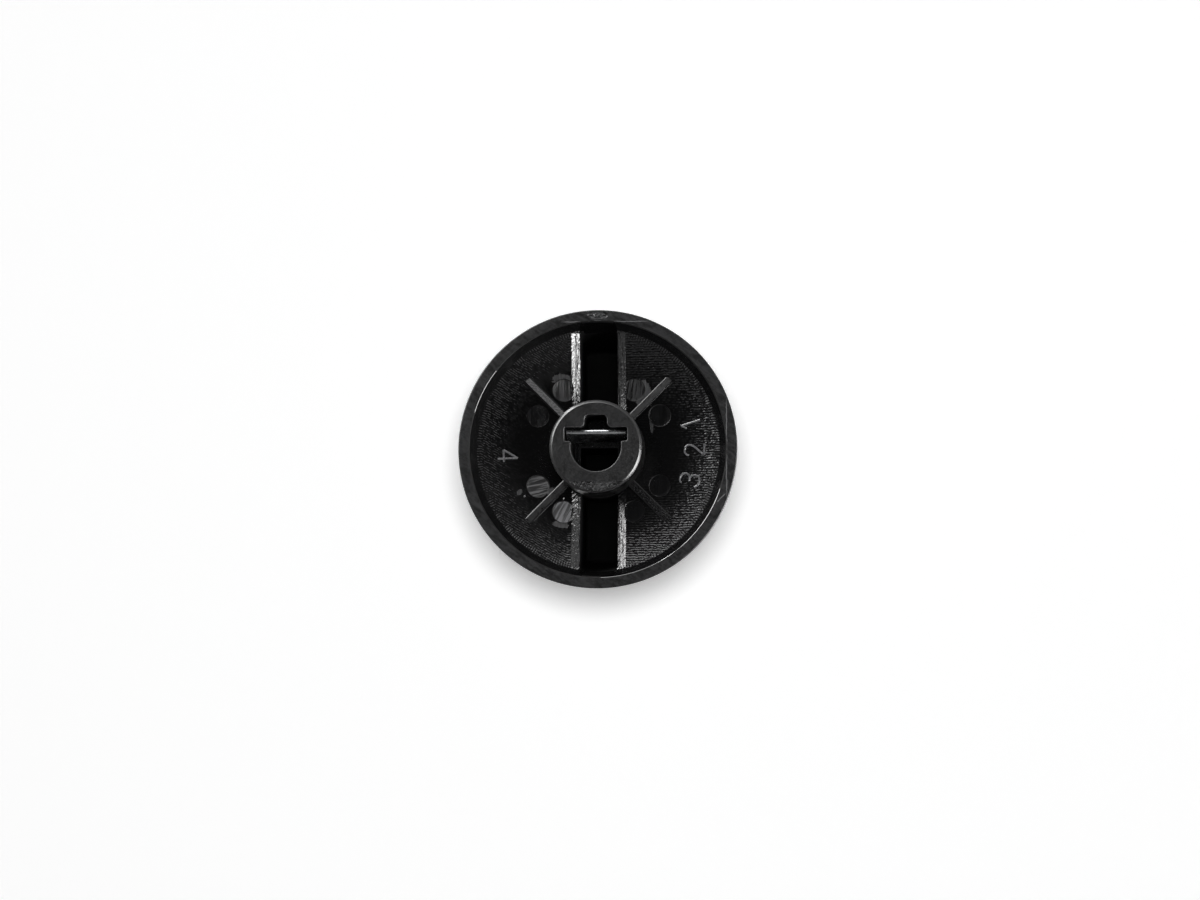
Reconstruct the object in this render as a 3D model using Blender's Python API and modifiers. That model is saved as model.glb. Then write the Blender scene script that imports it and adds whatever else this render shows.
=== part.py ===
"""Programme knob of a laundry appliance, lying on its grip with the back up.

The knob is one moulding (skirt, domed disc, hollow grip, hub and ribs) and the leaf spring in its shaft socket.
Metres. +Z points out of the shaft socket, +Y towards the gate mark and the key notch.
The crest of the grip lies at z = 0 and the shaft's axis is x = y = 0.
"""

import math

import bmesh
import bpy
from mathutils import Matrix, Vector

# Skirt: the round outer wall, widest at the rim round the back
SKIRT_RADIUS = 0.0225
SKIRT_TAPER = 0.0005
SKIRT_EDGE_RADIUS = 0.0012
RIM_WIDTH = 0.00177
RIM_EDGE_RADIUS = 0.0002

# Well: the hollow back of the disc, a steep wall inside the rim and a shallow bowl
WELL_DEPTH = 0.0018
WELL_RUN = 0.00113
BOWL_RISE = 0.0026
DISC_WALL = 0.002

# Grip: the hollow bar across the front, whose inside is open to the back as a channel
CHANNEL_DEPTH = 0.0152
CHANNEL_WIDTH = 0.0061
CHANNEL_DRAFT = math.radians(0.75)
CHANNEL_CORNER_RADIUS = 0.0006
CHANNEL_FLOOR_RADIUS = 0.0005
CHANNEL_END_INSET = 0.00015
CREST_WALL = 0.0018
GRIP_WALL = 0.0015
GRIP_DRAFT = math.radians(2)
GRIP_END_RAKE = 0.0038
GRIP_END_SETBACK = 0.0004
GRIP_END_WALL = 0.0014
GRIP_CORNER_RADIUS = 0.0014
GRIP_CREST_RADIUS = 0.001

# Lips: the rolled edges where the bowl turns down into the channel
LIP_RADIUS = 0.0019
LIP_TURN = math.radians(75)
LIP_BITE = 0.00005
LIP_END_GAP = 0.00015

# Shaft socket: a round bore for the shaft, a slot across it for the spring, and a key notch above the slot
SHAFT_RADIUS = 0.004
SHAFT_CLEARANCE = 0.00005
SLOT_LEDGE = 0.001
SLOT_OFFSET = 0.00085
SLOT_HEIGHT = 0.0022
SLOT_CORNER_RADIUS = 0.0003
KEY_WIDTH = 0.0036
KEY_HEIGHT = 0.002
KEY_CORNER_RADIUS = 0.00055
KEY_ROOT_RADIUS = 0.00045
SOCKET_FLOOR_WALL = 0.0016
POCKET_STEP = 0.0003

# Hub: the boss round the socket, which stands behind the rim, with a stepped-down strip on its face
HUB_WALL = 0.0016
HUB_STAND = 0.0047
HUB_EDGE_RADIUS = 0.00055
STRIP_WIDTH = 0.00186
STRIP_STEP = 0.0001

# Ribs from the hub across the bowl, at the diagonals
RIB_COUNT = 4
RIB_WIDTH = 0.0014
RIB_END_GAP = 0.0033

# Marks of the mould's ejector pins in the bowl, one on each side of a rib
PIN_RADIUS = 0.00175
PIN_HUB_GAP = 0.0039
PIN_SPREAD = math.radians(15)
PIN_SINK = 0.00012

# Mark of the mould's gate on the rim: a stub in an oval dimple
GATE_LENGTH = 0.0034
GATE_WIDTH = 0.0013
GATE_SINK = 0.0002
GATE_STUB_LENGTH = 0.0016
GATE_STUB_WIDTH = 0.0009
GATE_STUB_HEIGHT = 0.00025

# Index groove on the crest of the grip, at the end by the gate
INDEX_LENGTH = 0.007
INDEX_WIDTH = 0.0009
INDEX_DEPTH = 0.0004

# Leaf spring: a strip bent back on itself, whose bowed front leg presses on the shaft's flat
SPRING_THICKNESS = 0.0004
SPRING_GAP = 0.0002
SPRING_RECESS = 0.0004
SPRING_BOW_SHARE = 0.62
SPRING_PEAK_SHARE = 0.42
SPRING_FOOT_SHARE = 0.5

# How far a cut runs past a face, the distance within which points are one, and the fineness of curves
OVERRUN = 0.001
WELD = 0.000001
ROUND_STEPS = 96
HUB_STEPS = 72
BORE_STEPS = 24
PIN_STEPS = 24
BOWL_STEPS = 8
SWING_STEPS = 16
LIP_STEPS = 6
END_STEPS = 6
ARC_STEPS = 4
SPRING_STEPS = 10
SHARP_ANGLE = math.radians(30)

# Heights that follow
RIM_Z = CREST_WALL + CHANNEL_DEPTH
BOWL_EDGE_Z = RIM_Z - WELL_DEPTH
HUB_FACE_Z = RIM_Z + HUB_STAND

# Rounds that follow: the bowl and the domed front are spheres about one centre
WELL_RADIUS = SKIRT_RADIUS - RIM_WIDTH
BOWL_EDGE_RADIUS = WELL_RADIUS - WELL_RUN
BOWL_RADIUS = (BOWL_EDGE_RADIUS**2 + BOWL_RISE**2) / (2 * BOWL_RISE)
BOWL_CENTRE_Z = BOWL_EDGE_Z - BOWL_RISE + BOWL_RADIUS
FRONT_RADIUS = BOWL_RADIUS + DISC_WALL
CREST_END = SKIRT_RADIUS - GRIP_END_RAKE

# Socket sizes that follow
BORE_RADIUS = SHAFT_RADIUS + SHAFT_CLEARANCE
SLOT_HALF = BORE_RADIUS + SLOT_LEDGE
SLOT_TOP = SLOT_OFFSET + SLOT_HEIGHT
KEY_TOP = SLOT_TOP + KEY_HEIGHT
SOCKET_FLOOR_Z = BOWL_CENTRE_Z - FRONT_RADIUS + SOCKET_FLOOR_WALL
HUB_RADIUS = max(math.hypot(SLOT_HALF, SLOT_TOP), math.hypot(KEY_WIDTH / 2, KEY_TOP)) + HUB_WALL


def spread(first, last, steps):
    """Evenly spaced values from first to last, both included."""
    return [first + (last - first) * i / steps for i in range(steps + 1)]


def arc(centre, radius, first, last, steps):
    """Points of a circle's arc in a plane."""
    return [(centre[0] + radius * math.cos(a), centre[1] + radius * math.sin(a)) for a in spread(first, last, steps)]


def bowl_height(radius):
    return BOWL_CENTRE_Z - math.sqrt(BOWL_RADIUS**2 - radius**2)


def channel_half_width(z):
    """Half the channel's width at a height. It has its full width at the bowl's edge."""
    return CHANNEL_WIDTH / 2 - (BOWL_EDGE_Z - z) * math.tan(CHANNEL_DRAFT)


def rib_angles():
    return [(i + 1 / 2) * math.tau / RIB_COUNT for i in range(RIB_COUNT)]


def clear_scene():
    for obj in list(bpy.data.objects):
        bpy.data.objects.remove(obj, do_unlink=True)


def new_collection(name, parent):
    made = bpy.data.collections.new(name)
    made.hide_render = parent.hide_render
    parent.children.link(made)
    return made


def new_material(name, colour, roughness, metallic):
    made = bpy.data.materials.new(name)
    made.use_nodes = True
    shader = made.node_tree.nodes["Principled BSDF"]
    shader.inputs["Base Color"].default_value = (*colour, 1)
    shader.inputs["Roughness"].default_value = roughness
    shader.inputs["Metallic"].default_value = metallic
    return made


def placed(name, mesh, collection, matrix=None):
    """An object with this mesh. One in a collection hidden from renders is a wire that shapes a piece."""
    obj = bpy.data.objects.new(name, mesh)
    obj.matrix_world = matrix or Matrix.Identity(4)
    collection.objects.link(obj)
    if collection.hide_render:
        obj.hide_render = True
        obj.display_type = "WIRE"
    return obj


def mesh_from(name, bm):
    bmesh.ops.recalc_face_normals(bm, faces=bm.faces)
    mesh = bpy.data.meshes.new(name)
    bm.to_mesh(mesh)
    bm.free()
    return mesh


def turned(name, profile, steps, collection):
    """A profile of (radius, z) points, from the axis down the outer side and back to it, turned about Z."""
    mesh = bpy.data.meshes.new(name)
    points = [(radius, 0, z) for radius, z in profile]
    mesh.from_pydata(points, [(i, i + 1) for i in range(len(points) - 1)], [])
    obj = placed(name, mesh, collection)
    screw = obj.modifiers.new("turn", "SCREW")
    screw.axis = "Z"
    screw.steps = steps
    screw.render_steps = steps
    screw.use_merge_vertices = True
    screw.merge_threshold = WELD
    return obj


def lofted(name, rings, collection):
    """A solid skinned through rings of points that all have the same count."""
    bm = bmesh.new()
    loops = [[bm.verts.new(point) for point in ring] for ring in rings]
    for lower, upper in zip(loops, loops[1:]):
        for i in range(len(lower)):
            j = (i + 1) % len(lower)
            bm.faces.new((lower[i], lower[j], upper[j], upper[i]))
    bm.faces.new(loops[0])
    bm.faces.new(loops[-1])
    return placed(name, mesh_from(name, bm), collection)


def level(outline, z):
    return [(x, y, z) for x, y in outline]


def plate(name, outline, thickness, collection, matrix):
    """A flat outline given a thickness, half to each side of its plane."""
    curve = bpy.data.curves.new(name, "CURVE")
    curve.dimensions = "2D"
    curve.fill_mode = "BOTH"
    curve.extrude = thickness / 2
    spline = curve.splines.new("POLY")
    spline.points.add(len(outline) - 1)
    for point, (x, y) in zip(spline.points, outline):
        point.co = (x, y, 0, 1)
    spline.use_cyclic_u = True
    guide = placed(name, curve, collection)
    graph = bpy.context.evaluated_depsgraph_get()
    bm = bmesh.new()
    bm.from_mesh(bpy.data.meshes.new_from_object(guide.evaluated_get(graph)))
    bpy.data.objects.remove(guide)
    bmesh.ops.remove_doubles(bm, verts=bm.verts, dist=WELD)
    return placed(name, mesh_from(name, bm), collection, matrix)


def box(name, low, high, collection):
    size = Vector(high) - Vector(low)
    shape = Matrix.Translation(Vector(low) + size / 2) @ Matrix.Diagonal((*size, 1))
    bm = bmesh.new()
    bmesh.ops.create_cube(bm, size=1, matrix=shape)
    return placed(name, mesh_from(name, bm), collection)


def button(name, length, width, thickness, collection, matrix):
    """A round or oval plate that stands on its origin."""
    shape = Matrix.Translation((0, 0, thickness / 2)) @ Matrix.Diagonal((length / 2, width / 2, thickness, 1))
    bm = bmesh.new()
    bmesh.ops.create_cone(bm, cap_ends=True, segments=PIN_STEPS, radius1=1, radius2=1, depth=1, matrix=shape)
    return placed(name, mesh_from(name, bm), collection, matrix)


def combine(target, operation, tool):
    """Joins the target with an object or with each object of a collection, or cuts it with them."""
    boolean = target.modifiers.new(f"{operation.lower()} {tool.name}", "BOOLEAN")
    boolean.operation = operation
    boolean.solver = "EXACT"
    if isinstance(tool, bpy.types.Collection):
        boolean.operand_type = "COLLECTION"
        boolean.collection = tool
    else:
        boolean.object = tool


def settle(obj, material):
    """Makes what the modifiers give the object's own mesh, smooth apart from its true edges."""
    graph = bpy.context.evaluated_depsgraph_get()
    mesh = bpy.data.meshes.new_from_object(obj.evaluated_get(graph))
    obj.modifiers.clear()
    obj.data = mesh
    mesh.name = obj.name
    mesh.materials.clear()
    mesh.materials.append(material)
    mesh.shade_smooth()
    mesh.set_sharp_from_angle(angle=SHARP_ANGLE)


def rounded(corners):
    """An outline from (x, y, radius) corners. Each radius is limited by half of its shorter side."""
    outline = []
    for i, (x, y, radius) in enumerate(corners):
        if radius == 0:
            outline.append((x, y))
            continue
        here = Vector((x, y))
        before = Vector(corners[i - 1][:2]) - here
        after = Vector(corners[(i + 1) % len(corners)][:2]) - here
        half_angle = before.angle(after) / 2
        reach = min(radius / math.tan(half_angle), before.length / 2, after.length / 2)
        inward = (before.normalized() + after.normalized()).normalized()
        middle = here + inward * reach / math.cos(half_angle)
        start = here + before.normalized() * reach - middle
        end = here + after.normalized() * reach - middle
        first = math.atan2(start.y, start.x)
        outline += arc(middle, start.length, first, first - start.angle_signed(end), ARC_STEPS)
    return outline


def bar_outline(half_width, end_radius, corner_radius):
    """Plan of a bar across the disc: straight sides, ends on a circle round the axis, rounded corners."""
    corner_x = half_width - corner_radius
    corner_y = math.sqrt((end_radius - corner_radius) ** 2 - corner_x**2)
    turn = math.atan2(corner_y, corner_x)
    quarter = arc((corner_x, corner_y), corner_radius, 0, turn, ARC_STEPS)
    quarter += arc((0, 0), end_radius, turn, math.pi / 2, END_STEPS)[1:]
    half = quarter + [(-x, y) for x, y in reversed(quarter[:-1])]
    return half + [(-x, -y) for x, y in half]


def shaft_outline(radius, half_width, top):
    """Plan of a shaft hole with a flat side: a round bottom held to a width, and a straight top."""
    side = math.acos(min(half_width / radius, 1))
    return arc((0, 0), radius, side - math.pi, -side, BORE_STEPS) + [(half_width, top), (-half_width, top)]


def socket_outline():
    """Plan of the socket's mouth: the bore's round bottom, the slot's ledges and the key notch."""
    right = [
        (BORE_RADIUS, SLOT_OFFSET, SLOT_CORNER_RADIUS),
        (SLOT_HALF, SLOT_OFFSET, SLOT_CORNER_RADIUS),
        (SLOT_HALF, SLOT_TOP, SLOT_CORNER_RADIUS),
        (KEY_WIDTH / 2, SLOT_TOP, KEY_ROOT_RADIUS),
        (KEY_WIDTH / 2, KEY_TOP, KEY_CORNER_RADIUS),
    ]
    left = [(-x, y, radius) for x, y, radius in reversed(right)]
    bottom = [(x, y, 0) for x, y in arc((0, 0), BORE_RADIUS, -math.pi, 0, BORE_STEPS)]
    return rounded(bottom + right + left)


def skirt_profile():
    """Outside of the skirt and the domed front, closed by the plane of the rim."""
    rim_x = SKIRT_RADIUS - RIM_EDGE_RADIUS
    rim_edge = arc((rim_x, RIM_Z - RIM_EDGE_RADIUS), RIM_EDGE_RADIUS, math.pi / 2, 0, ARC_STEPS)
    edge_x = SKIRT_RADIUS - SKIRT_TAPER - SKIRT_EDGE_RADIUS
    edge_z = BOWL_CENTRE_Z - math.sqrt((FRONT_RADIUS - SKIRT_EDGE_RADIUS) ** 2 - edge_x**2)
    lean = math.atan2(edge_z - BOWL_CENTRE_Z, edge_x)
    front_edge = arc((edge_x, edge_z), SKIRT_EDGE_RADIUS, 0, lean, ARC_STEPS)
    front = arc((0, BOWL_CENTRE_Z), FRONT_RADIUS, lean, -math.pi / 2, BOWL_STEPS)[1:-1]
    return [(0, RIM_Z)] + rim_edge + front_edge + front + [(0, BOWL_CENTRE_Z - FRONT_RADIUS)]


def well_profile():
    """The hollow of the back: open past the rim, a steep wall, then the bowl down to the axis."""
    mouth = (WELL_RADIUS + OVERRUN * WELL_RUN / WELL_DEPTH, RIM_Z + OVERRUN)
    bowl = [(radius, bowl_height(radius)) for radius in spread(BOWL_EDGE_RADIUS, 0, BOWL_STEPS)]
    return [(0, RIM_Z + OVERRUN), mouth] + bowl


def grip_rings():
    """Outside of the grip, from its rounded crest up into the skirt."""
    root_z = (BOWL_EDGE_Z + RIM_Z) / 2
    rake = (GRIP_END_RAKE - GRIP_END_SETBACK) / root_z
    crest_half_width = channel_half_width(CREST_WALL) + GRIP_WALL

    def ring(z, inset):
        half_width = crest_half_width + z * math.tan(GRIP_DRAFT) - inset
        return level(bar_outline(half_width, CREST_END + z * rake - inset, GRIP_CORNER_RADIUS), z)

    crest = [
        ring(GRIP_CREST_RADIUS * (1 - math.cos(a)), GRIP_CREST_RADIUS * (1 - math.sin(a)))
        for a in spread(0, math.pi / 2, ARC_STEPS)
    ]
    return crest + [ring(root_z, 0)]


def channel_rings():
    """Inside of the grip, from its floor out past the rim."""
    floor_end = CREST_END - GRIP_END_WALL
    rake = (WELL_RADIUS - CHANNEL_END_INSET - floor_end) / CHANNEL_DEPTH

    def ring(z, inset):
        end = floor_end + (z - CREST_WALL) * rake - inset
        return level(bar_outline(channel_half_width(z) - inset, end, CHANNEL_CORNER_RADIUS), z)

    floor = [
        ring(CREST_WALL + CHANNEL_FLOOR_RADIUS * (1 - math.cos(a)), CHANNEL_FLOOR_RADIUS * (1 - math.sin(a)))
        for a in spread(0, math.pi / 2, ARC_STEPS)
    ]
    return floor + [ring(RIM_Z + OVERRUN, 0)]


def lip_rings():
    """The rolled lips along the channel, swung about the bowl's own centre so that they follow the bowl."""
    centre_x = channel_half_width(bowl_height(0)) - LIP_BITE + LIP_RADIUS
    centre_reach = math.sqrt(BOWL_RADIUS**2 - centre_x**2) + LIP_RADIUS
    half = arc((centre_x, centre_reach), LIP_RADIUS, -math.pi, LIP_TURN - math.pi, LIP_STEPS)
    last_x, last_reach = half[-1]
    half.append((last_x + OVERRUN * math.sin(LIP_TURN), last_reach - OVERRUN * math.cos(LIP_TURN)))
    outline = half + [(-x, reach) for x, reach in reversed(half)]
    end_y = math.sqrt(BOWL_EDGE_RADIUS**2 - centre_x**2) - LIP_END_GAP
    swing = math.asin(end_y / BOWL_RADIUS)
    return [
        [(x, reach * math.sin(a), BOWL_CENTRE_Z - reach * math.cos(a)) for x, reach in outline]
        for a in spread(-swing, swing, SWING_STEPS)
    ]


def hub_profile():
    """The hub from its face down into the crest's wall."""
    edge_x = HUB_RADIUS - HUB_EDGE_RADIUS
    edge = arc((edge_x, HUB_FACE_Z - HUB_EDGE_RADIUS), HUB_EDGE_RADIUS, math.pi / 2, 0, ARC_STEPS)
    return [(0, HUB_FACE_Z)] + edge + [(HUB_RADIUS, CREST_WALL / 2), (0, CREST_WALL / 2)]


def pocket_rings():
    """The foot of the shaft hole, between the walls of the grip."""
    rings = []
    for z in (CREST_WALL, SOCKET_FLOOR_Z + OVERRUN):
        step = POCKET_STEP + (SOCKET_FLOOR_Z - z) * math.tan(CHANNEL_DRAFT)
        rings.append(level(shaft_outline(BORE_RADIUS - step, channel_half_width(z), SLOT_OFFSET - step), z))
    return rings


def rib_outline():
    """Side view of a rib as (radius, z) points: its level top runs out where the bowl rises to it."""
    root = HUB_RADIUS - HUB_WALL / 2
    tip = BOWL_EDGE_RADIUS - RIB_END_GAP
    end = tip + RIB_WIDTH
    foot = [(radius, bowl_height(radius) - DISC_WALL / 2) for radius in spread(root, end, BOWL_STEPS)]
    return foot + [(end, bowl_height(tip)), (root, bowl_height(tip))]


def spring_path():
    """Middle line of the strip as (y, z) points: up the rear leg, over the bend and down the bowed front leg."""
    room = SLOT_HEIGHT - 2 * SPRING_GAP - SPRING_THICKNESS
    bow = room * SPRING_BOW_SHARE
    bend_radius = (room - bow) / 2
    rear_y = SLOT_TOP - SPRING_GAP - SPRING_THICKNESS / 2
    bend_z = HUB_FACE_Z - SPRING_RECESS - SPRING_THICKNESS / 2 - bend_radius
    foot_z = SOCKET_FLOOR_Z + SPRING_GAP
    above_peak = (bend_z - foot_z) * SPRING_PEAK_SHARE
    bow_radius = (above_peak**2 + bow**2) / (2 * bow)
    lean = math.asin(above_peak / bow_radius)
    bend = arc((rear_y - bend_radius, bend_z), bend_radius, 0, math.pi - lean, SPRING_STEPS)
    peak_y, peak_z = bend[-1][0] - bow, bend[-1][1] - above_peak
    front = arc((peak_y + bow_radius, peak_z), bow_radius, math.pi - lean, math.pi, SPRING_STEPS)
    foot_back = bow * SPRING_FOOT_SHARE
    foot_radius = ((peak_z - foot_z) ** 2 + foot_back**2) / (2 * foot_back)
    foot_turn = math.asin((peak_z - foot_z) / foot_radius)
    foot = arc((peak_y + foot_radius, peak_z), foot_radius, math.pi, math.pi + foot_turn, SPRING_STEPS)
    return [(rear_y, foot_z)] + bend + front[1:] + foot[1:]


def make_hub(tools):
    """The hub is round behind the disc. Inside the grip it is cut to flats that lie within the grip's walls."""
    hub = turned("hub", hub_profile(), HUB_STEPS, tools)
    low = (channel_half_width(CREST_WALL) + GRIP_WALL / 2, -HUB_RADIUS - OVERRUN, 0)
    high = (HUB_RADIUS + OVERRUN, HUB_RADIUS + OVERRUN, bowl_height(0) - DISC_WALL / 2)
    flats = box("hub_flats", low, high, tools)
    mirror = flats.modifiers.new("both sides", "MIRROR")
    mirror.use_mirror_merge = False
    combine(hub, "DIFFERENCE", flats)
    return hub


def make_ribs(tools):
    ribs = new_collection("ribs", tools)
    for i, angle in enumerate(rib_angles()):
        turn = Matrix.Rotation(angle, 4, "Z") @ Matrix.Rotation(math.pi / 2, 4, "X")
        plate(f"rib_{i + 1}", rib_outline(), RIB_WIDTH, ribs, turn)
    return ribs


def make_pins(tools):
    """Each pin's face is dressed to the bowl, so it is swung about the bowl's centre and sunk evenly."""
    pins = new_collection("ejector_pins", tools)
    tilt = math.asin((HUB_RADIUS + PIN_HUB_GAP) / BOWL_RADIUS)
    for i, angle in enumerate(rib_angles()):
        for side in (-1, 1):
            matrix = Matrix.Translation((0, 0, BOWL_CENTRE_Z))
            matrix = matrix @ Matrix.Rotation(angle + side * PIN_SPREAD, 4, "Z") @ Matrix.Rotation(-tilt, 4, "Y")
            matrix = matrix @ Matrix.Translation((0, 0, -BOWL_RADIUS - PIN_SINK))
            button(f"pin_{i + 1}_{side}", 2 * PIN_RADIUS, 2 * PIN_RADIUS, PIN_SINK + OVERRUN, pins, matrix)
    return pins


def cut_socket(moulding, tools):
    depth = HUB_FACE_Z + OVERRUN - SOCKET_FLOOR_Z
    middle = Matrix.Translation((0, 0, SOCKET_FLOOR_Z + depth / 2))
    combine(moulding, "DIFFERENCE", plate("socket", socket_outline(), depth, tools, middle))
    combine(moulding, "DIFFERENCE", lofted("pocket", pocket_rings(), tools))


def cut_hub_strip(moulding, tools):
    reach = HUB_RADIUS + OVERRUN
    low = (-reach, -reach, HUB_FACE_Z - STRIP_STEP)
    high = (reach, STRIP_WIDTH - HUB_RADIUS, HUB_FACE_Z + OVERRUN)
    combine(moulding, "DIFFERENCE", box("hub_strip", low, high, tools))


def add_gate_mark(moulding, tools):
    y = SKIRT_RADIUS - RIM_WIDTH / 2
    sunk = Matrix.Translation((0, y, RIM_Z - GATE_SINK))
    dimple = button("gate_dimple", GATE_LENGTH, GATE_WIDTH, GATE_SINK + OVERRUN, tools, sunk)
    combine(moulding, "DIFFERENCE", dimple)
    rooted = Matrix.Translation((0, y, RIM_Z - GATE_SINK - OVERRUN))
    stub = button("gate_stub", GATE_STUB_LENGTH, GATE_STUB_WIDTH, OVERRUN + GATE_STUB_HEIGHT, tools, rooted)
    combine(moulding, "UNION", stub)


def cut_index_groove(moulding, tools):
    low = (-INDEX_WIDTH / 2, CREST_END - INDEX_LENGTH, -OVERRUN)
    high = (INDEX_WIDTH / 2, CREST_END + OVERRUN, INDEX_DEPTH)
    combine(moulding, "DIFFERENCE", box("index_groove", low, high, tools))


def make_moulding(knob, tools):
    """The outside first, then the hollows of the back, then what stands up in them."""
    moulding = turned("knob_moulding", skirt_profile(), ROUND_STEPS, knob)
    combine(moulding, "UNION", lofted("grip", grip_rings(), tools))
    combine(moulding, "DIFFERENCE", turned("well", well_profile(), ROUND_STEPS, tools))
    combine(moulding, "DIFFERENCE", lofted("channel", channel_rings(), tools))
    combine(moulding, "DIFFERENCE", lofted("lips", lip_rings(), tools))
    combine(moulding, "UNION", make_hub(tools))
    combine(moulding, "UNION", make_ribs(tools))
    cut_socket(moulding, tools)
    cut_hub_strip(moulding, tools)
    combine(moulding, "DIFFERENCE", make_pins(tools))
    add_gate_mark(moulding, tools)
    cut_index_groove(moulding, tools)
    settle(moulding, new_material("black_abs", (0.012, 0.012, 0.013), 0.42, 0))


def make_spring(knob):
    half_width = SLOT_HALF - SPRING_GAP
    bm = bmesh.new()
    edges = [[bm.verts.new((x, y, z)) for x in (-half_width, half_width)] for y, z in spring_path()]
    for (left, right), (next_left, next_right) in zip(edges, edges[1:]):
        bm.faces.new((left, right, next_right, next_left))
    spring = placed("shaft_spring", mesh_from("shaft_spring", bm), knob)
    strip = spring.modifiers.new("strip", "SOLIDIFY")
    strip.thickness = SPRING_THICKNESS
    strip.offset = 0
    strip.use_even_offset = True
    settle(spring, new_material("spring_steel", (0.56, 0.57, 0.58), 0.25, 1))


def main():
    clear_scene()
    scene = bpy.context.scene.collection
    knob = new_collection("programme_knob", scene)
    tools = new_collection("shaping_tools", scene)
    tools.hide_render = True
    make_moulding(knob, tools)
    make_spring(knob)


main()
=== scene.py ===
# %% [markdown]
# # A programme knob, seen from behind
#
# The knob of a laundry appliance lies on its grip with its back up. It is one black moulding with a leaf
# spring of bright steel in its shaft socket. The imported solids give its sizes. Here the same form is made
# again with more points, rounded edges and the marks that its mould left, and it gets its finishes.

import math

import bmesh
import bpy
import numpy as np
from mathutils import Matrix, Vector


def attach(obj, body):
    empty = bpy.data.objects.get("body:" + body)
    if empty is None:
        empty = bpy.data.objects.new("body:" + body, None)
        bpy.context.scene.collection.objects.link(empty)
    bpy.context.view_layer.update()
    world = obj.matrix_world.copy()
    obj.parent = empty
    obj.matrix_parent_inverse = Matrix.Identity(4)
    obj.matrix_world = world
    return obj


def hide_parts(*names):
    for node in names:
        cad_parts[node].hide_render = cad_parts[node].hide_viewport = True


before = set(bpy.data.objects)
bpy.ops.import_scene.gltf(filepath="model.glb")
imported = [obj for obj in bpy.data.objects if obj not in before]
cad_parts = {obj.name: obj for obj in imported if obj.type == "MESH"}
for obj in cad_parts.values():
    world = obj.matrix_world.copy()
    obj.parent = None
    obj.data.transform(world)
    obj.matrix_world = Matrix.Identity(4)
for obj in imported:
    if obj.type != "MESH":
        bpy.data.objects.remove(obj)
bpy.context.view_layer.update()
MM = 0.001

# %% [markdown]
# ## Sizes
#
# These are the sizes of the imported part. All are in metres, and the crest of the grip lies at z = 0.

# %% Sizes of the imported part
SKIRT_RADIUS = 22.5 * MM
SKIRT_TAPER = 0.5 * MM
SKIRT_EDGE_RADIUS = 1.2 * MM
RIM_WIDTH = 1.77 * MM
RIM_EDGE_RADIUS = 0.2 * MM
WELL_DEPTH = 1.8 * MM
WELL_RUN = 1.13 * MM
BOWL_RISE = 2.6 * MM
DISC_WALL = 2 * MM
CHANNEL_DEPTH = 15.2 * MM
CHANNEL_WIDTH = 6.1 * MM
CHANNEL_DRAFT = math.radians(0.75)
CHANNEL_CORNER_RADIUS = 0.6 * MM
CHANNEL_FLOOR_RADIUS = 0.5 * MM
CHANNEL_END_INSET = 0.15 * MM
CREST_WALL = 1.8 * MM
GRIP_WALL = 1.5 * MM
GRIP_DRAFT = math.radians(2)
GRIP_END_RAKE = 3.8 * MM
GRIP_END_SETBACK = 0.4 * MM
GRIP_END_WALL = 1.4 * MM
GRIP_CORNER_RADIUS = 1.4 * MM
GRIP_CREST_RADIUS = 1 * MM
LIP_END_GAP = 0.15 * MM
BORE_RADIUS = 4.05 * MM
SLOT_LEDGE = 1 * MM
SLOT_OFFSET = 0.85 * MM
SLOT_HEIGHT = 2.2 * MM
SLOT_CORNER_RADIUS = 0.3 * MM
KEY_WIDTH = 3.6 * MM
KEY_HEIGHT = 2 * MM
SOCKET_FLOOR_WALL = 1.6 * MM
POCKET_STEP = 0.3 * MM
HUB_WALL = 1.6 * MM
HUB_STAND = 4.7 * MM
STRIP_WIDTH = 1.86 * MM
STRIP_STEP = 0.1 * MM
RIB_COUNT = 4
RIB_WIDTH = 1.4 * MM
RIB_END_GAP = 3.3 * MM
PIN_RADIUS = 1.75 * MM
PIN_HUB_GAP = 3.9 * MM
GATE_LENGTH = 3.4 * MM
GATE_WIDTH = 1.3 * MM
GATE_SINK = 0.2 * MM
INDEX_LENGTH = 7 * MM
INDEX_WIDTH = 0.9 * MM
INDEX_DEPTH = 0.4 * MM
SPRING_THICKNESS = 0.4 * MM
SPRING_GAP = 0.2 * MM
SPRING_BOW_SHARE = 0.62
SPRING_PEAK_SHARE = 0.42
SPRING_FOOT_SHARE = 0.5
OVERRUN = 1 * MM

RIM_Z = CREST_WALL + CHANNEL_DEPTH
BOWL_EDGE_Z = RIM_Z - WELL_DEPTH
HUB_FACE_Z = RIM_Z + HUB_STAND
WELL_RADIUS = SKIRT_RADIUS - RIM_WIDTH
BOWL_EDGE_RADIUS = WELL_RADIUS - WELL_RUN
BOWL_RADIUS = (BOWL_EDGE_RADIUS**2 + BOWL_RISE**2) / (2 * BOWL_RISE)
BOWL_CENTRE_Z = BOWL_EDGE_Z - BOWL_RISE + BOWL_RADIUS
BOWL_CENTRE = Vector((0, 0, BOWL_CENTRE_Z))
FRONT_RADIUS = BOWL_RADIUS + DISC_WALL
CREST_END = SKIRT_RADIUS - GRIP_END_RAKE
SLOT_HALF = BORE_RADIUS + SLOT_LEDGE
SLOT_TOP = SLOT_OFFSET + SLOT_HEIGHT
KEY_TOP = SLOT_TOP + KEY_HEIGHT
SOCKET_FLOOR_Z = BOWL_CENTRE_Z - FRONT_RADIUS + SOCKET_FLOOR_WALL
HUB_RADIUS = math.hypot(SLOT_HALF, SLOT_TOP) + HUB_WALL
print("hub radius in mm:", round(HUB_RADIUS / MM, 3), "bowl radius in mm:", round(BOWL_RADIUS / MM, 2))

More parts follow.
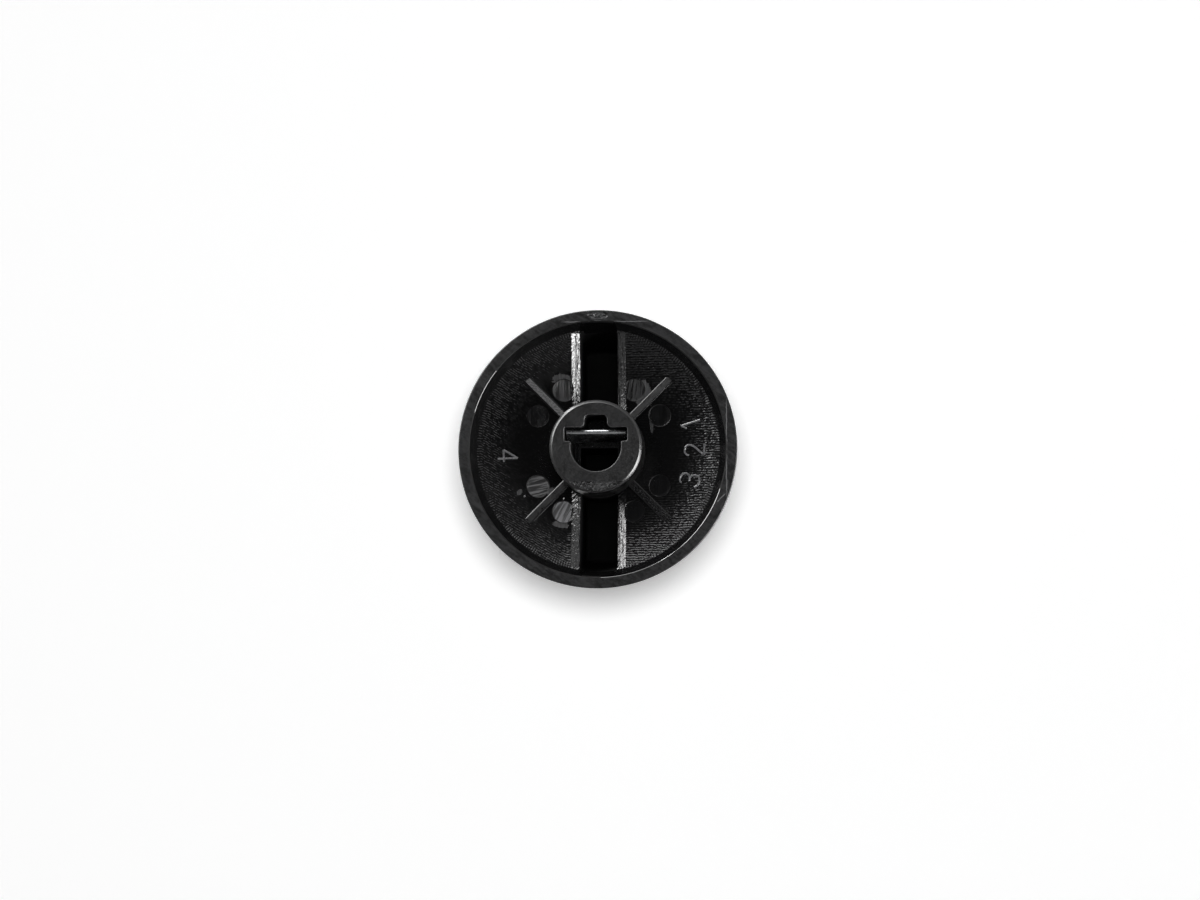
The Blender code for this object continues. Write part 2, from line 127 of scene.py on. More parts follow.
# %% [markdown]
# ## Light, floor and camera
#
# The photograph looks down on the back of the knob, a few degrees off its axis. Black plastic shows its
# form by what it mirrors, so the soft lights stand where their reflections lie in the photograph: softboxes
# behind, to the left and to the right, a low strip light at the upper left and a weak reflector in front,
# under a sky that is dim overhead. They show in reflections only. What lights the floor and throws the
# shadow is one more lamp overhead, which isn't mirrored.

# %% Camera at the photograph's angle
IMAGE_SIZE = (1200, 900)
PIXELS_PER_MM = 6.215
RIM_CENTRE_PIXEL = (597.5, 448.8)
CAMERA_TILT = math.radians(6.48)
CAMERA_LEAN = (0.55, -0.835)
CAMERA_DISTANCE = 0.8
FLOOR_HALF = 3


def aim(obj, target):
    """Turns a camera or a light towards a point, with the picture's top towards +Y."""
    back = (obj.location - Vector(target)).normalized()
    right = Vector((0, 1, 0)).cross(back).normalized()
    turn = Matrix((right, back.cross(right), back)).transposed()
    obj.matrix_world = Matrix.Translation(obj.location) @ turn.to_4x4()


def make_camera():
    data = bpy.data.cameras.new("camera")
    camera = bpy.data.objects.new("camera", data)
    bpy.context.scene.collection.objects.link(camera)
    lean = Vector(CAMERA_LEAN).normalized() * math.sin(CAMERA_TILT)
    back = Vector((lean.x, lean.y, math.cos(CAMERA_TILT)))
    frame_width = IMAGE_SIZE[0] / PIXELS_PER_MM * MM
    data.lens = data.sensor_width * CAMERA_DISTANCE / frame_width
    data.clip_start = 0.01
    rim_centre = Vector((0, 0, RIM_Z))
    right = Vector((0, 1, 0)).cross(back).normalized()
    up = back.cross(right)
    shift_x = (IMAGE_SIZE[0] / 2 - RIM_CENTRE_PIXEL[0]) / PIXELS_PER_MM * MM
    shift_y = (RIM_CENTRE_PIXEL[1] - IMAGE_SIZE[1] / 2) / PIXELS_PER_MM * MM
    target = rim_centre + right * shift_x + up * shift_y
    camera.location = target + back * CAMERA_DISTANCE
    aim(camera, target)
    bpy.context.scene.camera = camera


make_camera()

# %% [markdown]
# ## Two small helpers
#
# Colours are written as sRGB hex values, as a colour picker shows them, and one function turns them to the
# linear values that shaders take. A second function adds a node with its settings and links, so that each
# tree below reads as a list of what it is made of.

# %% Colour and node helpers


def hex_colour(text):
    """Linear RGBA from an sRGB hex value such as 1A1A1C."""
    values = [int(text[i : i + 2], 16) / 255 for i in (0, 2, 4)]
    linear = [v / 12.92 if v <= 0.04045 else ((v + 0.055) / 1.055) ** 2.4 for v in values]
    return (*linear, 1)


def add_node(tree, kind, inputs=None, **settings):
    """Adds a node, sets its settings, and sets or links its inputs, which are given by name or number.

    A node that is given for an input is linked from its first output.
    """
    made = tree.nodes.new(kind)
    for name, value in settings.items():
        setattr(made, name, value)
    for key, value in (inputs or {}).items():
        if isinstance(value, bpy.types.Node):
            value = value.outputs[0]
        if isinstance(value, bpy.types.NodeSocket):
            tree.links.new(value, made.inputs[key])
        else:
            made.inputs[key].default_value = value
    return made


def new_material(name):
    made = bpy.data.materials.new(name)
    made.use_nodes = True
    made.node_tree.nodes.clear()
    return made


# %% Sky and floor
FLOOR_WHITE = hex_colour("F4F4F4")
FLOOR_GLOW = 0.45
SKY_LEVELS = [(0.0, 0.6), (0.36, 1.0), (0.72, 0.5), (0.88, 0.07), (1.0, 0.05)]
SKY_NEAR_SIDE = 0.18
SKY_FAR_SIDE = 1.2


def make_sky():
    """White to the camera. To the knob it is dim overhead, where the camera hangs, and paler lower down."""
    world = bpy.data.worlds.new("studio")
    world.use_nodes = True
    world.cycles_visibility.diffuse = False
    tree = world.node_tree
    tree.nodes.clear()
    place = add_node(tree, "ShaderNodeTexCoord")
    way = add_node(tree, "ShaderNodeSeparateXYZ", {0: place.outputs["Generated"]})
    stops = add_node(tree, "ShaderNodeValToRGB", {"Fac": way.outputs["Z"]})
    for _ in SKY_LEVELS[2:]:
        stops.color_ramp.elements.new(1)
    for element, (position, value) in zip(stops.color_ramp.elements, SKY_LEVELS):
        element.position = position
        element.color = (value, value, value, 1)
    near_to_far = {0: way.outputs["Y"], 1: -1, 2: 1, 3: SKY_NEAR_SIDE, 4: SKY_FAR_SIDE}
    side = add_node(tree, "ShaderNodeMapRange", near_to_far)
    shade = add_node(tree, "ShaderNodeMath", {0: stops, 1: side}, operation="MULTIPLY")
    seen = add_node(tree, "ShaderNodeLightPath")
    strength = add_node(tree, "ShaderNodeMix", {0: seen.outputs["Is Camera Ray"], 2: shade, 3: 1})
    sky = add_node(tree, "ShaderNodeBackground", {"Color": (1, 1, 1, 1), "Strength": strength})
    add_node(tree, "ShaderNodeOutputWorld", {"Surface": sky})
    bpy.context.scene.world = world


def make_floor():
    """A white sweep that keeps the knob's shadow: part of what is seen of it is its own white."""
    material = new_material("white_paper_sweep")
    tree = material.node_tree
    paper = add_node(tree, "ShaderNodeBsdfDiffuse", {"Color": FLOOR_WHITE})
    seen = add_node(tree, "ShaderNodeLightPath")
    direct = {0: seen.outputs["Is Camera Ray"], 1: seen.outputs["Is Glossy Ray"]}
    either = add_node(tree, "ShaderNodeMath", direct, operation="MAXIMUM")
    strength = add_node(tree, "ShaderNodeMath", {0: either, 1: FLOOR_GLOW}, operation="MULTIPLY")
    glow = add_node(tree, "ShaderNodeEmission", {"Color": FLOOR_WHITE, "Strength": strength})
    both = add_node(tree, "ShaderNodeAddShader", {0: paper, 1: glow})
    add_node(tree, "ShaderNodeOutputMaterial", {"Surface": both})
    bm = bmesh.new()
    bmesh.ops.create_grid(bm, x_segments=4, y_segments=4, size=FLOOR_HALF)
    mesh = bpy.data.meshes.new("floor")
    bm.to_mesh(mesh)
    bm.free()
    mesh.materials.append(material)
    floor = bpy.data.objects.new("floor", mesh)
    bpy.context.scene.collection.objects.link(floor)


# %% Lamps
LAMP_DISTANCE = 0.7
# The lamps that are mirrored: (name, degrees round the axis, degrees from it, size in metres, radiance).
MIRRORED_LAMPS = [
    ("far_softbox", 107, 60, (0.8, 0.4), 3.7),
    ("left_softbox", 149, 60, (0.46, 0.44), 13),
    ("right_softbox", -20, 60, (0.42, 0.44), 23),
    ("low_strip_light", 126, 82, (0.62, 0.09), 30),
    ("near_reflector", 262, 31, (0.7, 0.28), 0.3),
]
OVERHEAD_WAY = (0.062, 0.071, 1)
OVERHEAD_DISTANCE = 1.0
OVERHEAD_SIZE = (0.38, 0.38)
OVERHEAD_RADIANCE = 19.6


def make_softbox(name, way, distance, size, radiance):
    """A round soft light in a direction from the knob."""
    data = bpy.data.lights.new(name, "AREA")
    data.shape = "ELLIPSE"
    data.size, data.size_y = size
    data.energy = radiance * math.pi**2 / 4 * size[0] * size[1]
    lamp = bpy.data.objects.new(name, data)
    bpy.context.scene.collection.objects.link(lamp)
    lamp.location = Vector((0, 0, RIM_Z)) + Vector(way).normalized() * distance
    aim(lamp, (0, 0, RIM_Z))
    return lamp


def way_at(azimuth, zenith):
    """The direction at an angle round the axis and an angle from it, in degrees."""
    around, down = math.radians(azimuth), math.radians(zenith)
    return math.sin(down) * math.cos(around), math.sin(down) * math.sin(around), math.cos(down)


bpy.context.scene.view_settings.view_transform = "Standard"
make_sky()
make_floor()
for name, azimuth, zenith, size, radiance in MIRRORED_LAMPS:
    make_softbox(name, way_at(azimuth, zenith), LAMP_DISTANCE, size, radiance).visible_diffuse = False
overhead = make_softbox("overhead_softbox", OVERHEAD_WAY, OVERHEAD_DISTANCE, OVERHEAD_SIZE, OVERHEAD_RADIANCE)
overhead.visible_glossy = False
print("lamps:", len(MIRRORED_LAMPS), "mirrored and one overhead")

# %% [markdown]
# ## The moulding
#
# The knob was moulded in one shot, so it is made as one mesh. The round forms are profiles turned about the
# axis, the grip and the channel inside it are skins through outlines, and Boolean joins and cuts put them
# together in the order in which the solids overlap cleanly: the outside first, the hollows next, and then
# what stands up in them.

# %% Helpers for outlines
ROUND_STEPS = 256
HUB_STEPS = 160
BOWL_STEPS = 44
BORE_STEPS = 48
ARC_STEPS = 6
WELD = 0.001 * MM
workshop = bpy.data.collections.new("workshop")
workshop.hide_render = True
bpy.context.scene.collection.children.link(workshop)


def spread(first, last, steps):
    return [first + (last - first) * i / steps for i in range(steps + 1)]


def arc(centre, radius, first, last, steps):
    x, y = centre
    return [(x + radius * math.cos(a), y + radius * math.sin(a)) for a in spread(first, last, steps)]


def between(start, end, shares):
    """Points on the straight line from start to end, at these shares of its length."""
    return [(start[0] + (end[0] - start[0]) * s, start[1] + (end[1] - start[1]) * s) for s in shares]


def chain(points):
    """The edges from each point to the next."""
    return [(i, i + 1) for i in range(len(points) - 1)]


def bowl_height(radius):
    return BOWL_CENTRE_Z - math.sqrt(BOWL_RADIUS**2 - radius**2)


def channel_half_width(z):
    return CHANNEL_WIDTH / 2 - (BOWL_EDGE_Z - z) * math.tan(CHANNEL_DRAFT)


# %% Helpers for meshes


def placed(name, mesh):
    """An object in the workshop, a collection that isn't rendered."""
    obj = bpy.data.objects.new(name, mesh)
    workshop.objects.link(obj)
    return obj


def mesh_from(name, bm):
    bmesh.ops.recalc_face_normals(bm, faces=bm.faces)
    mesh = bpy.data.meshes.new(name)
    bm.to_mesh(mesh)
    bm.free()
    return mesh


def plain_mesh(obj):
    """The evaluated mesh of an object, as a mesh of its own."""
    graph = bpy.context.evaluated_depsgraph_get()
    return bpy.data.meshes.new_from_object(obj.evaluated_get(graph))


def turned(name, profile, steps):
    """A profile of (radius, z) points, from the axis down the outer side and back to it, turned about Z."""
    mesh = bpy.data.meshes.new(name)
    mesh.from_pydata([(radius, 0, z) for radius, z in profile], chain(profile), [])
    obj = placed(name, mesh)
    screw = obj.modifiers.new("turn", "SCREW")
    screw.steps = screw.render_steps = steps
    screw.use_merge_vertices = True
    screw.merge_threshold = WELD
    return obj


def lofted(name, rings):
    """A solid skinned through rings of points that all have the same count."""
    bm = bmesh.new()
    loops = [[bm.verts.new(point) for point in ring] for ring in rings]
    for lower, upper in zip(loops, loops[1:]):
        for i in range(len(lower)):
            j = (i + 1) % len(lower)
            bm.faces.new((lower[i], lower[j], upper[j], upper[i]))
    bm.faces.new(loops[0])
    bm.faces.new(loops[-1])
    return placed(name, mesh_from(name, bm))


def level(outline, z):
    return [(x, y, z) for x, y in outline]


def combine(target, operation, *tools):
    """Joins the target with the tools, or cuts it with them, and makes the result its mesh."""
    for tool in tools:
        boolean = target.modifiers.new(operation, "BOOLEAN")
        boolean.operation = operation
        boolean.solver = "EXACT"
        boolean.object = tool
    result = plain_mesh(target)
    target.modifiers.clear()
    target.data = result
    for tool in tools:
        bpy.data.objects.remove(tool)


# %% Helpers for rounded plans


def rounded(corners):
    """An outline from (x, y, radius) corners. Each radius is limited by half of its shorter side."""
    outline = []
    for i, (x, y, radius) in enumerate(corners):
        if radius == 0:
            outline.append((x, y))
            continue
        here = Vector((x, y))
        before = Vector(corners[i - 1][:2]) - here
        after = Vector(corners[(i + 1) % len(corners)][:2]) - here
        half_angle = before.angle(after) / 2
        reach = min(radius / math.tan(half_angle), before.length / 2, after.length / 2)
        inward = (before.normalized() + after.normalized()).normalized()
        middle = here + inward * reach / math.cos(half_angle)
        start = here + before.normalized() * reach - middle
        end = here + after.normalized() * reach - middle
        first = math.atan2(start.y, start.x)
        outline += arc(middle, start.length, first, first - start.angle_signed(end), ARC_STEPS)
    return outline


def bar_outline(half_width, end_radius, corner_radius):
    """Plan of a bar across the disc: straight sides, ends on a circle round the axis, rounded corners."""
    corner_x = half_width - corner_radius
    corner_y = math.sqrt((end_radius - corner_radius) ** 2 - corner_x**2)
    turn = math.atan2(corner_y, corner_x)
    quarter = arc((corner_x, corner_y), corner_radius, 0, turn, ARC_STEPS)
    quarter += arc((0, 0), end_radius, turn, math.pi / 2, ARC_STEPS)[1:]
    half = quarter + [(-x, y) for x, y in reversed(quarter[:-1])]
    return half + [(-x, -y) for x, y in half]


# %% Skirt, dome and grip


def skirt_profile():
    rim_x = SKIRT_RADIUS - RIM_EDGE_RADIUS
    rim_edge = arc((rim_x, RIM_Z - RIM_EDGE_RADIUS), RIM_EDGE_RADIUS, math.pi / 2, 0, ARC_STEPS)
    edge_x = SKIRT_RADIUS - SKIRT_TAPER - SKIRT_EDGE_RADIUS
    edge_z = BOWL_CENTRE_Z - math.sqrt((FRONT_RADIUS - SKIRT_EDGE_RADIUS) ** 2 - edge_x**2)
    lean = math.atan2(edge_z - BOWL_CENTRE_Z, edge_x)
    front_edge = arc((edge_x, edge_z), SKIRT_EDGE_RADIUS, 0, lean, 2 * ARC_STEPS)
    front = arc((0, BOWL_CENTRE_Z), FRONT_RADIUS, lean, -math.pi / 2, BOWL_STEPS)[1:-1]
    side = between(rim_edge[-1], front_edge[0], (0.25, 0.5, 0.75))
    return [(0, RIM_Z)] + rim_edge + side + front_edge + front + [(0, BOWL_CENTRE_Z - FRONT_RADIUS)]


def grip_rings():
    root_z = (BOWL_EDGE_Z + RIM_Z) / 2
    rake = (GRIP_END_RAKE - GRIP_END_SETBACK) / root_z
    crest_half_width = channel_half_width(CREST_WALL) + GRIP_WALL

    def ring(z, inset):
        half_width = crest_half_width + z * math.tan(GRIP_DRAFT) - inset
        return level(bar_outline(half_width, CREST_END + z * rake - inset, GRIP_CORNER_RADIUS), z)

    crest = [
        ring(GRIP_CREST_RADIUS * (1 - math.cos(a)), GRIP_CREST_RADIUS * (1 - math.sin(a)))
        for a in spread(0, math.pi / 2, ARC_STEPS)
    ]
    return crest + [ring(z, 0) for z in spread(GRIP_CREST_RADIUS, root_z, 12)[1:]]


moulding = turned("knob_back_moulding", skirt_profile(), ROUND_STEPS)
combine(moulding, "UNION", lofted("grip", grip_rings()))
print("skirt and grip:", len(moulding.data.polygons), "faces")

# %% [markdown]
# ## The hollow back
#
# The well has a steep wall inside the rim and a shallow bowl. The wall's upper edge, the well's mouth, has a
# fine round, because it catches a thin line of light in the photograph. The channel inside the grip is cut
# through the bowl, and the lips roll the bowl over into it.

# %% Well, channel and lips
WELL_LIP_RADIUS = 0.28 * MM
LIP_EDGE_X = 4.41 * MM
# The lips' slopes, from the bowl inwards: (length, first degrees, last degrees, steps).
LIP_SLOPES = [(0.15 * MM, 16, 27, 3), (1.4 * MM, 27, 38, 6), (0.26 * MM, 38, 82, 5)]


def well_profile():
    wall_slope = math.atan2(WELL_DEPTH, WELL_RUN)
    middle = (WELL_RADIUS + WELL_LIP_RADIUS * math.tan(wall_slope / 2), RIM_Z - WELL_LIP_RADIUS)
    lip = arc(middle, WELL_LIP_RADIUS, math.pi / 2, math.pi / 2 + wall_slope, 2 * ARC_STEPS)
    lip.insert(0, (middle[0], RIM_Z + OVERRUN))
    foot = (BOWL_EDGE_RADIUS, BOWL_EDGE_Z)
    wall = between(lip[-1], foot, spread(0, 1, 4))
    bowl = [(radius, bowl_height(radius)) for radius in spread(BOWL_EDGE_RADIUS, 0, BOWL_STEPS)]
    return [(0, RIM_Z + OVERRUN)] + lip[:-1] + wall + bowl[1:]


def channel_rings():
    floor_end = CREST_END - GRIP_END_WALL
    rake = (WELL_RADIUS - CHANNEL_END_INSET - floor_end) / CHANNEL_DEPTH

    def ring(z, inset):
        end = floor_end + (z - CREST_WALL) * rake - inset
        return level(bar_outline(channel_half_width(z) - inset, end, CHANNEL_CORNER_RADIUS), z)

    floor = [
        ring(CREST_WALL + CHANNEL_FLOOR_RADIUS * (1 - math.cos(a)), CHANNEL_FLOOR_RADIUS * (1 - math.sin(a)))
        for a in spread(0, math.pi / 2, ARC_STEPS)
    ]
    walls = [ring(z, 0) for z in spread(CREST_WALL + CHANNEL_FLOOR_RADIUS, RIM_Z + OVERRUN, 10)[1:]]
    return floor + walls


def lip_rings():
    """The cutter that rolls the bowl into the channel: a quick turn, a nearly flat slope, a second turn."""
    x, reach = LIP_EDGE_X, math.sqrt(BOWL_RADIUS**2 - LIP_EDGE_X**2)
    half = [(x, reach - OVERRUN), (x, reach)]
    for length, first, last, steps in LIP_SLOPES:
        for i in range(steps):
            slope = math.radians(first + (last - first) * (i + 0.5) / steps)
            x -= length / steps * math.cos(slope)
            reach += length / steps * math.sin(slope)
            half.append((x, reach))
    outline = half + [(-x, reach) for x, reach in reversed(half)]
    end_y = math.sqrt(BOWL_EDGE_RADIUS**2 - LIP_EDGE_X**2) - LIP_END_GAP
    swing = math.asin(end_y / BOWL_RADIUS)
    return [
        [(x, reach * math.sin(a), BOWL_CENTRE_Z - reach * math.cos(a)) for x, reach in outline]
        for a in spread(-swing, swing, 60)
    ]


combine(moulding, "DIFFERENCE", turned("well", well_profile(), ROUND_STEPS))
combine(moulding, "DIFFERENCE", lofted("channel", channel_rings()))
combine(moulding, "DIFFERENCE", lofted("lips", lip_rings()))
print("with the hollow back:", len(moulding.data.polygons), "faces")

# %% [markdown]
# ## Hub and socket
#
# The hub is a plain boss, but its socket has three parts that show: the round of the shaft bore, the slot
# across it for the spring, and the key notch. The mould left a fine break on the socket's edge, so the
# cutter widens over its last tenths of a millimetre. The notch's corners are a little rounder than those of
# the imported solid, as the photograph shows them.

# %% Hub and socket
SOCKET_BREAK = 0.14 * MM
NOTCH_RADIUS = 0.75 * MM
# The slopes of the ring round the hub's face: (width, first degrees, last degrees).
HUB_RING_SLOPES = [(0.4 * MM, 26, 46), (0.1 * MM, 46, 84)]
HUB_RING_WIDTH = sum(width for width, _, _ in HUB_RING_SLOPES)


def hub_profile():
    """The boss. Its edge is a sloping ring, which a crease parts from the face, and then a round."""
    edge = [(HUB_RADIUS - HUB_RING_WIDTH, HUB_FACE_Z)]
    for width, first, last in HUB_RING_SLOPES:
        for i in range(ARC_STEPS):
            slope = math.radians(first + (last - first) * (i + 0.5) / ARC_STEPS)
            step = width / ARC_STEPS
            edge.append((edge[-1][0] + step, edge[-1][1] - step * math.tan(slope)))
    side = [(HUB_RADIUS, z) for z in spread(edge[-1][1], CREST_WALL / 2, 10)[1:]]
    return [(0, HUB_FACE_Z)] + edge + side + [(0, CREST_WALL / 2)]


def socket_outline(grow):
    """Plan of the socket's mouth, grown outwards by a distance."""
    right = [
        (BORE_RADIUS + grow, SLOT_OFFSET - grow, SLOT_CORNER_RADIUS - grow),
        (SLOT_HALF + grow, SLOT_OFFSET - grow, SLOT_CORNER_RADIUS + grow),
        (SLOT_HALF + grow, SLOT_TOP + grow, SLOT_CORNER_RADIUS + grow),
        (KEY_WIDTH / 2 + grow, SLOT_TOP + grow, NOTCH_RADIUS - grow),
        (KEY_WIDTH / 2 + grow, KEY_TOP + grow, NOTCH_RADIUS + grow),
    ]
    left = [(-x, y, radius) for x, y, radius in reversed(right)]
    bottom = [(x, y, 0) for x, y in arc((0, 0), BORE_RADIUS + grow, -math.pi, 0, BORE_STEPS)]
    return rounded(bottom + right + left)


# %% Cutters of the socket


def socket_rings():
    steps = [(SOCKET_FLOOR_Z - HUB_FACE_Z, 0), (-4 * SOCKET_BREAK, 0)]
    for a in spread(0, 0.45 * math.pi, 4):
        steps.append((-SOCKET_BREAK * (1 - math.sin(a)), SOCKET_BREAK * (1 - math.cos(a))))
    steps.append((OVERRUN, SOCKET_BREAK))
    return [level(socket_outline(grow), HUB_FACE_Z + depth) for depth, grow in steps]


def pocket_rings():
    """The foot of the shaft hole, between the walls of the grip."""
    rings = []
    for z in (CREST_WALL, SOCKET_FLOOR_Z + OVERRUN):
        step = POCKET_STEP + (SOCKET_FLOOR_Z - z) * math.tan(CHANNEL_DRAFT)
        radius, half_width, top = BORE_RADIUS - step, channel_half_width(z), SLOT_OFFSET - step
        side = math.acos(half_width / radius)
        outline = arc((0, 0), radius, side - math.pi, -side, BORE_STEPS)
        rings.append(level(outline + [(half_width, top), (-half_width, top)], z))
    return rings


def block(name, low, high):
    x0, y0, z0 = low
    x1, y1, z1 = high
    return lofted(name, [level([(x0, y0), (x1, y0), (x1, y1), (x0, y1)], z) for z in (z0, z1)])


def make_hub():
    hub = turned("hub", hub_profile(), HUB_STEPS)
    flat_x = channel_half_width(CREST_WALL) + GRIP_WALL / 2
    reach = HUB_RADIUS + OVERRUN
    top = bowl_height(0) - DISC_WALL / 2
    sides = ((flat_x, reach), (-reach, -flat_x))
    combine(hub, "DIFFERENCE", *(block("flat", (low, -reach, 0), (high, reach, top)) for low, high in sides))
    return hub


combine(moulding, "UNION", make_hub())
print("with the hub:", len(moulding.data.polygons), "faces")

# %% [markdown]
# ## Ribs and ejector marks
#
# Four ribs stiffen the bowl, and a pin of the mould pushed on each side of every rib. Both repeat round the
# axis, so a Geometry Nodes tree does the repeating: it puts a copy of one shape at each point of a few, with
# the shape's X axis pointing away from the shaft. The copies become real faces before they join or cut.

# %% Helpers for Geometry Nodes


def new_tree(name, **kinds):
    """A Geometry Nodes tree with these named inputs and one output, and its inputs as sockets."""
    tree = bpy.data.node_groups.new(name, "GeometryNodeTree")
    for label, kind in kinds.items():
        tree.interface.new_socket(label, in_out="INPUT", socket_type="NodeSocket" + kind)
    tree.interface.new_socket("Geometry", in_out="OUTPUT", socket_type="NodeSocketGeometry")
    return tree, add_node(tree, "NodeGroupInput").outputs


def end_tree(tree, shape, finish):
    """Ends a tree in real faces that have a finish."""
    real = add_node(tree, "GeometryNodeRealizeInstances", {0: shape})
    done = add_node(tree, "GeometryNodeSetMaterial", {0: real, "Material": finish})
    add_node(tree, "NodeGroupOutput", {0: done})
    return tree


def grown(name, points, edges, tree, **inputs):
    """The plain mesh that a tree makes of points and edges."""
    mesh = bpy.data.meshes.new(name)
    mesh.from_pydata(points, edges, [])
    obj = placed(name, mesh)
    modifier = obj.modifiers.new("tree", "NODES")
    modifier.node_group = tree
    for socket in tree.interface.items_tree:
        if socket.name in inputs:
            modifier[socket.identifier] = inputs[socket.name]
    obj.data = plain_mesh(obj)
    obj.modifiers.clear()
    return obj


# %% A tree that sets copies round the axis


def ring_tree():
    kinds = {"Points": "Geometry", "Shape": "Object", "Size": "Vector", "Finish": "Material"}
    tree, given = new_tree("copies_round_the_axis", **kinds)
    shape = add_node(tree, "GeometryNodeObjectInfo", {"Object": given["Shape"]})
    flat = {0: add_node(tree, "GeometryNodeInputPosition"), 1: (1, 1, 0)}
    outward = add_node(tree, "ShaderNodeVectorMath", flat, operation="MULTIPLY")
    turn = add_node(tree, "FunctionNodeAlignRotationToVector", {"Vector": outward}, axis="X")
    inputs = {"Points": given["Points"], "Instance": shape.outputs["Geometry"], "Rotation": turn}
    inputs["Scale"] = given["Size"]
    copies = add_node(tree, "GeometryNodeInstanceOnPoints", inputs)
    return end_tree(tree, copies, given["Finish"])


RING_TREE = ring_tree()


def ring_of(name, angles, shape):
    """One mesh of copies of a shape. Its points lie a hair from the axis, as only their directions count."""
    points = [(math.cos(a) * WELD, math.sin(a) * WELD, 0) for a in angles]
    obj = grown(name, points, [], RING_TREE, Shape=shape, Size=(1, 1, 1))
    bpy.data.objects.remove(shape)
    return obj


# %% Ribs
RIB_TOP_RADIUS = 0.26 * MM
RIB_STATIONS = 24


def rib_angles():
    return [(i + 1 / 2) * math.tau / RIB_COUNT for i in range(RIB_COUNT)]


def make_ribs():
    """One rib as a loft along the radius, whose foot lies in the disc's wall, and four of it."""
    root = HUB_RADIUS - HUB_WALL / 2
    tip = BOWL_EDGE_RADIUS - RIB_END_GAP
    end = tip + 0.5 * RIB_WIDTH
    top = bowl_height(tip)
    half = RIB_WIDTH / 2
    rings = []
    for radius in spread(root, end, RIB_STATIONS):
        foot = bowl_height(radius) - DISC_WALL / 2
        side = arc((half - RIB_TOP_RADIUS, top - RIB_TOP_RADIUS), RIB_TOP_RADIUS, 0, math.pi / 2, ARC_STEPS)
        section = [(half, foot)] + side + [(-y, z) for y, z in reversed(side)] + [(-half, foot)]
        rings.append([(radius, y, z) for y, z in section])
    return ring_of("ribs", rib_angles(), lofted("rib", rings))


combine(moulding, "UNION", make_ribs())
print("with the ribs:", len(moulding.data.polygons), "faces")

# %% [markdown]
# The pins were dressed to the bowl, so each mark is a shallow round of it, a little deeper or shallower
# than its neighbour. The cutter is a thin round plate that stands square to the bowl at its place.

# %% Ejector marks
PIN_STEPS = 64
# How deep each mark is, in mm, by its degrees round the axis.
PIN_SINKS = {30: 0.1, 60: 0.1, 120: 0.12, 150: 0.05, 210: 0.16, 240: 0.14, 300: 0.1, 330: 0.1}


def pin_rings(sink):
    """The cutter at the +X side: a plate whose lower face is a piece of a slightly larger bowl."""
    reach = HUB_RADIUS + PIN_HUB_GAP
    upright = Matrix.Rotation(-math.asin(reach / BOWL_RADIUS), 3, "Y")
    rings = []
    for share, lift in ((0.35, 0), (0.7, 0), (0.98, 0), (1.0, 0.01), (1.09, 0.16), (1.12, 1)):
        ring = []
        for x, y in arc((0, 0), PIN_RADIUS * share, 0, math.tau, PIN_STEPS)[:-1]:
            depth = -math.sqrt((BOWL_RADIUS + sink) ** 2 - x**2 - y**2) + lift * OVERRUN
            ring.append(upright @ Vector((x, y, depth)) + BOWL_CENTRE)
        rings.append(ring)
    return rings


def cut_pins():
    for degrees, sink in PIN_SINKS.items():
        pin = lofted("pin", pin_rings(sink * MM))
        combine(moulding, "DIFFERENCE", ring_of("pins", [math.radians(degrees)], pin))


cut_pins()
print("with the ejector marks:", len(moulding.data.polygons), "faces")

# %% Socket, strip, gate mark and index groove
GATE_Y = SKIRT_RADIUS - RIM_WIDTH / 2
GATE_STUB_HEIGHT = 0.25 * MM
GATE_STUB_HALF_LENGTH = 0.8 * MM
GATE_STUB_HALF_WIDTH = 0.45 * MM


def cut_socket_and_strip():
    combine(moulding, "DIFFERENCE", lofted("socket", socket_rings()))
    combine(moulding, "DIFFERENCE", lofted("pocket", pocket_rings()))
    reach = HUB_RADIUS + OVERRUN
    low = (-reach, -reach, HUB_FACE_Z - STRIP_STEP)
    high = (reach, STRIP_WIDTH - HUB_RADIUS, HUB_FACE_Z + OVERRUN)
    combine(moulding, "DIFFERENCE", block("strip", low, high))


def gate_dimple():
    """An oval hollow with a rounded floor."""
    rings = []
    for share, z in ((0.4, -GATE_SINK), (0.8, -0.85 * GATE_SINK), (1, 0), (1.05, OVERRUN)):
        oval = arc((0, 0), share, 0, math.tau, 40)[:-1]
        rings.append([(x * GATE_LENGTH / 2, y * GATE_WIDTH / 2 + GATE_Y, RIM_Z + z) for x, y in oval])
    return lofted("dimple", rings)


def gate_stub():
    """The broken-off sprue: an uneven stub, rough on top."""
    rng = np.random.default_rng(7)
    rings = []
    for share, z in ((1, -OVERRUN), (1, 0), (0.86, 0.5 * GATE_STUB_HEIGHT), (0.6, GATE_STUB_HEIGHT)):
        ring = []
        for x, y in arc((0, 0), share, 0, math.tau, 22)[:-1]:
            bump = 1 + 0.12 * rng.standard_normal() * (z > -OVERRUN)
            lift = 0.25 * GATE_STUB_HEIGHT * rng.standard_normal() * (z > 0)
            x, y = x * GATE_STUB_HALF_LENGTH * bump, y * GATE_STUB_HALF_WIDTH * bump
            ring.append((x, y + GATE_Y, RIM_Z - GATE_SINK + z + lift))
        rings.append(ring)
    return lofted("stub", rings)


cut_socket_and_strip()
combine(moulding, "DIFFERENCE", gate_dimple())
combine(moulding, "UNION", gate_stub())
groove_low = (-INDEX_WIDTH / 2, CREST_END - INDEX_LENGTH, -OVERRUN)
groove_high = (INDEX_WIDTH / 2, CREST_END + OVERRUN, INDEX_DEPTH)
combine(moulding, "DIFFERENCE", block("groove", groove_low, groove_high))
print("whole moulding:", len(moulding.data.polygons), "faces")

